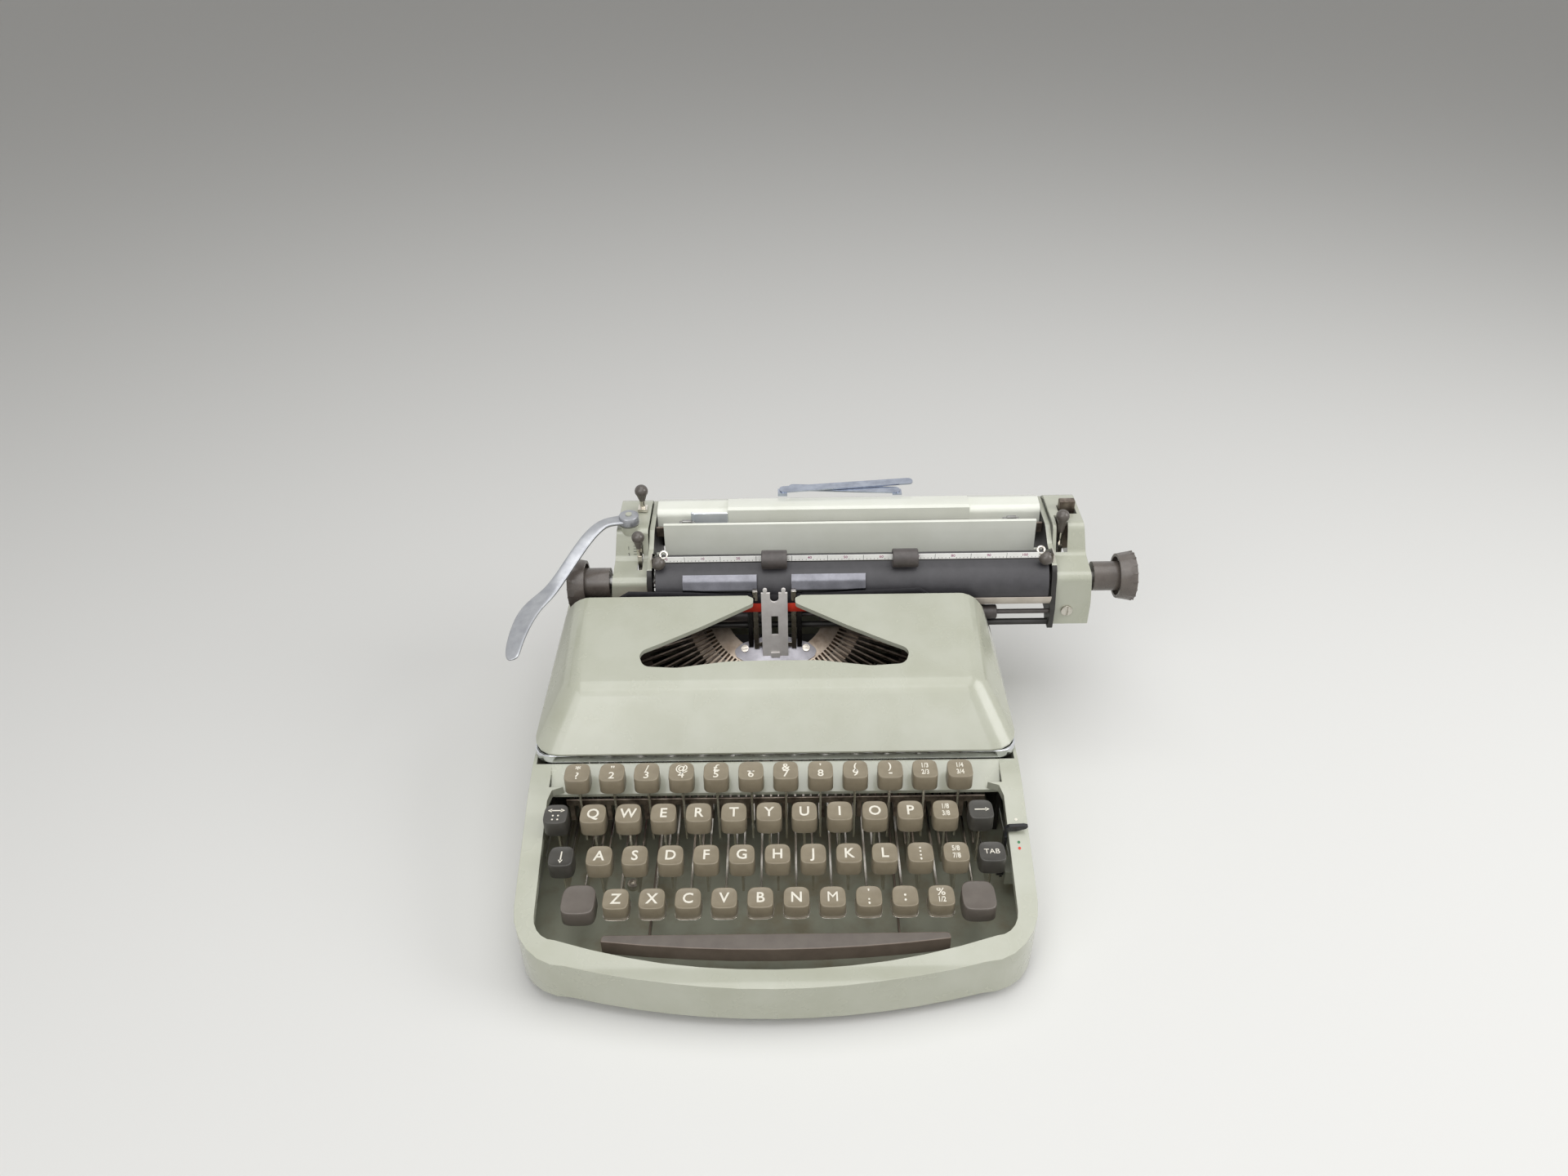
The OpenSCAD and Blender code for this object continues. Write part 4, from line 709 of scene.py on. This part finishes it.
def makeBail():
    front, rear = bail["y"] - bail["thick"] / 2, bail["y"] + bail["thick"] / 2
    arms = []
    for side in (-1, 1):
        inner = (bail["x"] + side * (bail["in"] - bail["cut"])) * mm
        arms.append(edged("paper_bail", "bailArm", 0.2, 2, cut=((inner, 0, 0), (-side, 0, 0))))
    dress(joined("bailArms", arms), bailBody, wornNickel, slot="chrome", nodes=("paper_bail",))
    reach = bail["in"] - bail["short"]
    back = plate("bailStripBack", (bail["x"] - reach, bail["x"] + reach), (front + bail["back"], rear),
                 (bail["low"], bail["high"]))
    dress(back, bailBody, darkSteel, slot="scale_metal")
    face = plate("bailScaleFace", bail["ends"], (front, front + bail["face"]),
                 (bail["low"] + bail["dark"], bail["high"]))
    dress(face, bailBody, scaleWhite, slot="scale_metal")
    for side in (-1, 1):
        x = bail["x"] + side * (bail["in"] - bail["grip"] - bail["gap"])
        dy, dz = bail["gripPlace"]
        noneSelected()
        bpy.ops.mesh.primitive_uv_sphere_add(segments=36, ring_count=20, radius=bail["grip"] * mm)
        ball = bpy.context.object
        ball.name = "bailGrip_%d" % (side + 1)
        shade(moved(ball, (x, bail["y"] + dy, bail["z"] + dz)), 60)
        dress(ball, bailBody, gripPlastic, slot="chrome")
        major, minor, lean = bail["ring"]
        inward, dy, dz = bail["ringPlace"]
        noneSelected()
        bpy.ops.mesh.primitive_torus_add(major_segments=36, minor_segments=12, major_radius=major * mm,
                                         minor_radius=minor * mm)
        ring = bpy.context.object
        ring.name = "bailRing_%d" % (side + 1)
        ring.data.transform(Matrix.Rotation(math.radians(lean), 4, "X"))
        shade(moved(ring, (x - side * inward, bail["y"] + dy, bail["z"] + dz)), 60)
        dress(ring, bailBody, brightNickel, slot="chrome")


# Scale on the bail: short ticks, a full-height one at each five and a number at each ten
scale = {"first": -64.9, "step": 2.168, "count": 105, "proud": 0.03, "margin": 0.15,
         "tick": (0.11, 0.8, 0.05), "drop": 2.6, "number": 2.5, "line": 1.5, "ink": (0.03, 0.02)}


def makeScale():
    front = bail["y"] - bail["thick"] / 2 - scale["proud"]
    top = bail["high"] - scale["margin"]
    full = bail["high"] - bail["low"] - bail["dark"] - 2 * scale["margin"]
    half, short, thick = scale["tick"]
    raised, weight = scale["ink"]
    facing = Matrix.Rotation(math.radians(90), 4, "X")
    places = [(k, scale["first"] + k * scale["step"]) for k in range(scale["count"])]
    ticks = []
    for k, x in places:
        if k % 10:
            high, tall = (top, full) if k % 10 == 5 else (top - scale["drop"], short)
            ticks.append(plate("tick", (x - half, x + half), (front, front + thick), (high - tall, high), 0))
    dress(joined("bailScaleTicks", ticks), bailBody, inkBlack, slot="scale_metal")
    numbers = [lettering("number", str(k), scale["number"], (x, front, top - scale["line"]), raised, facing,
                         weight) for k, x in places[::10]]
    dress(joined("bailScaleNumbers", numbers), bailBody, inkViolet, slot="scale_metal")


makeBail()
makeScale()


# Marks beside the line space lever, on the end cover's slope from (y, z) to (y, z)
marks = {"slope": (94, 124, 101, 141), "proud": 0.06, "x": -90.6, "words": (("1", 96.6), ("3", 95.0)),
         "size": 3.0, "raised": 0.05, "tickX": -86.3, "tick": (1.3, 0.14, 0.05),
         "rows": (97.1, 96.45, 95.8, 95.15, 94.5)}


def makeMarks():
    y0, z0, y1, z1 = marks["slope"]
    lean = math.atan2(z1 - z0, y1 - y0)
    tilt = Matrix.Rotation(lean, 4, "X")
    proud = Vector((0, -math.sin(lean), math.cos(lean))) * marks["proud"]

    def onSlope(x, y):
        return Vector((x, y, z0 + (y - y0) * (z1 - z0) / (y1 - y0))) + proud

    parts = [lettering("mark", word, marks["size"], onSlope(marks["x"], y), marks["raised"], tilt)
             for word, y in marks["words"]]
    for y in marks["rows"]:
        tick = plate("tick", *[(-half, half) for half in marks["tick"]], 0)
        tick.data.transform(tilt)
        parts.append(moved(tick, onSlope(marks["tickX"], y)))
    dress(joined("lineSpaceMarks", parts), "carriage", inkBlack, slot="enamel")


makeMarks()


# A plate on the back cover painted bright as a reflection, with the rib at its left end, and a nut in the
# floor of the well
extras = {"plate": ((-51.6, -29.6), (121.6, 122.8), (127.6, 139.6)),
          "rib": ((-52.8, -51.2), (121.1, 122.8), (126.4, 140.2)), "edge": 0.5, "nut": (-81.5, -69.6, 7.0),
          "rings": ((0.97, -1.2), (1, -0.8), (1, 2.4), (0.86, 3.1), (0.62, 3.1), (0.55, 1.4), (0.3, 1.4))}


def makeExtras():
    sheet = plate("labelSheet", *extras["plate"], extras["edge"])
    rib = plate("labelRib", *extras["rib"], extras["edge"])
    shade(sheet, 30)
    dress(joined("backCoverPlate", [sheet, rib]), "carriage", reflectionTinSheet, slot="chrome")
    x, y, wide = extras["nut"]
    nut = moved(stack("wellNut", extras["rings"], 32, wide, wide), (x, y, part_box("bottom_plate")[1][2] / mm))
    shade(nut, 40)
    dress(nut, "root_frame", brightNickel, slot="nickel")


makeExtras()


# Comb behind the keys: a stained strip under the deck's edge with a slot for each lever
comb = {"face": (-46.6, -45.4), "rows": (40.5, 52.4, 57.0), "half": 117.5, "slots": 44, "slot": 2.3,
        "lap": (0.1, 0.4), "edge": 0.25}


def makeComb():
    low, middle, top = comb["rows"]
    half, pitch = comb["half"], 2 * comb["half"] / (comb["slots"] + 1)
    tooth = (pitch - comb["slot"]) / 2
    down, up = comb["lap"]
    parts = [plate("combBar", (-half, half), comb["face"], (middle - down, top), comb["edge"])]
    model = plate("combTooth", (-tooth, tooth), comb["face"], (low, middle + up), comb["edge"])
    for k in range(comb["slots"] + 1):
        parts.append(twin(model, "combTooth", (-half + (k + 0.5) * pitch, 0, 0)))
    bpy.data.objects.remove(model)
    whole = joined("keyComb", parts)
    shade(whole, 30)
    dress(whole, "root_frame", oiledSteel, slot="steel")


makeComb()


# Colour dots on the right rim, whose slope is in degrees: (name, y, z, material)
dots = {"x": 131, "slope": 19.6, "wide": 1.6, "rings": ((0.8, -0.3), (1, 0.05), (0.6, 0.15)),
        "places": (("dotWhite", -67.6, 59.8, legendWhite), ("dotGreen", -79.9, 55.4, dotGreen),
                   ("dotRed", -83.1, 54.3, inkRed))}


def makeDots():
    for name, y, z, material in dots["places"]:
        dot = stack(name, dots["rings"], 20, dots["wide"], dots["wide"])
        dot.data.transform(Matrix.Rotation(math.radians(dots["slope"]), 4, "X"))
        dress(moved(dot, (dots["x"], y, z)), "root_frame", material, slot="enamel")


makeDots()
print("small parts made")


# Plain pale floor, white surround and soft lights: name, place, size, watts, aim
stage = {"floor": 6, "surround": 0.3, "lamps": (("overhead", (0.1, 0.0, 1.3), 1.1, 7.5, (0, 0, 0)),
                                                ("high", (0.0, -0.8, 1.1), 0.8, 3.7, (0, 0, 0.08)),
                                                ("front", (-0.7, -1.0, 0.9), 0.8, 4.5, (0, 0, 0.08)),
                                                ("side", (1.1, -0.2, 0.8), 0.7, 6.0, (0, 0, 0.08)))}


# The surround looks white to the camera and in reflections, but lights the machine only softly
def makeSurround():
    world = bpy.data.worlds.new("surround")
    bpy.context.scene.world = world
    world.use_nodes = True
    tree = world.node_tree
    tree.nodes.clear()
    light = addNode(tree, "ShaderNodeBackground",
                    inputs={"Color": linear("#e6e4e0"), "Strength": stage["surround"]})
    white = addNode(tree, "ShaderNodeBackground", inputs={"Color": (1, 1, 1, 1), "Strength": 1.0})
    path = addNode(tree, "ShaderNodeLightPath").outputs
    mirrored = addNode(tree, "ShaderNodeMath", {"operation": "MAXIMUM"},
                       links={0: path["Is Camera Ray"], 1: path["Is Glossy Ray"]})
    seen = addNode(tree, "ShaderNodeMath", {"operation": "MAXIMUM"},
                   links={0: mirrored.outputs[0], 1: path["Is Transmission Ray"]})
    mixed = addNode(tree, "ShaderNodeMixShader",
                    links={0: seen.outputs[0], 1: light.outputs[0], 2: white.outputs[0]})
    addNode(tree, "ShaderNodeOutputWorld", links={"Surface": mixed.outputs[0]})


def makeStage():
    noneSelected()
    bpy.ops.mesh.primitive_plane_add(size=stage["floor"])
    floor = bpy.context.object
    floor.name = "floor"
    # Matt emulsion paint: pale and without shine
    floor.data.materials.append(startMaterial("paleFloor", "#e4e4e2", Roughness=0.8)[0])
    for name, place, size, power, aim in stage["lamps"]:
        bpy.ops.object.light_add(type="AREA", location=place)
        lamp = bpy.context.object
        lamp.name = name
        lamp.data.size = size
        lamp.data.energy = power
        lamp.rotation_euler = (Vector(aim) - Vector(place)).to_track_quat("-Z", "Y").to_euler()
    bpy.context.scene.view_settings.view_transform = "Standard"


makeStage()
makeSurround()
print("scene made")
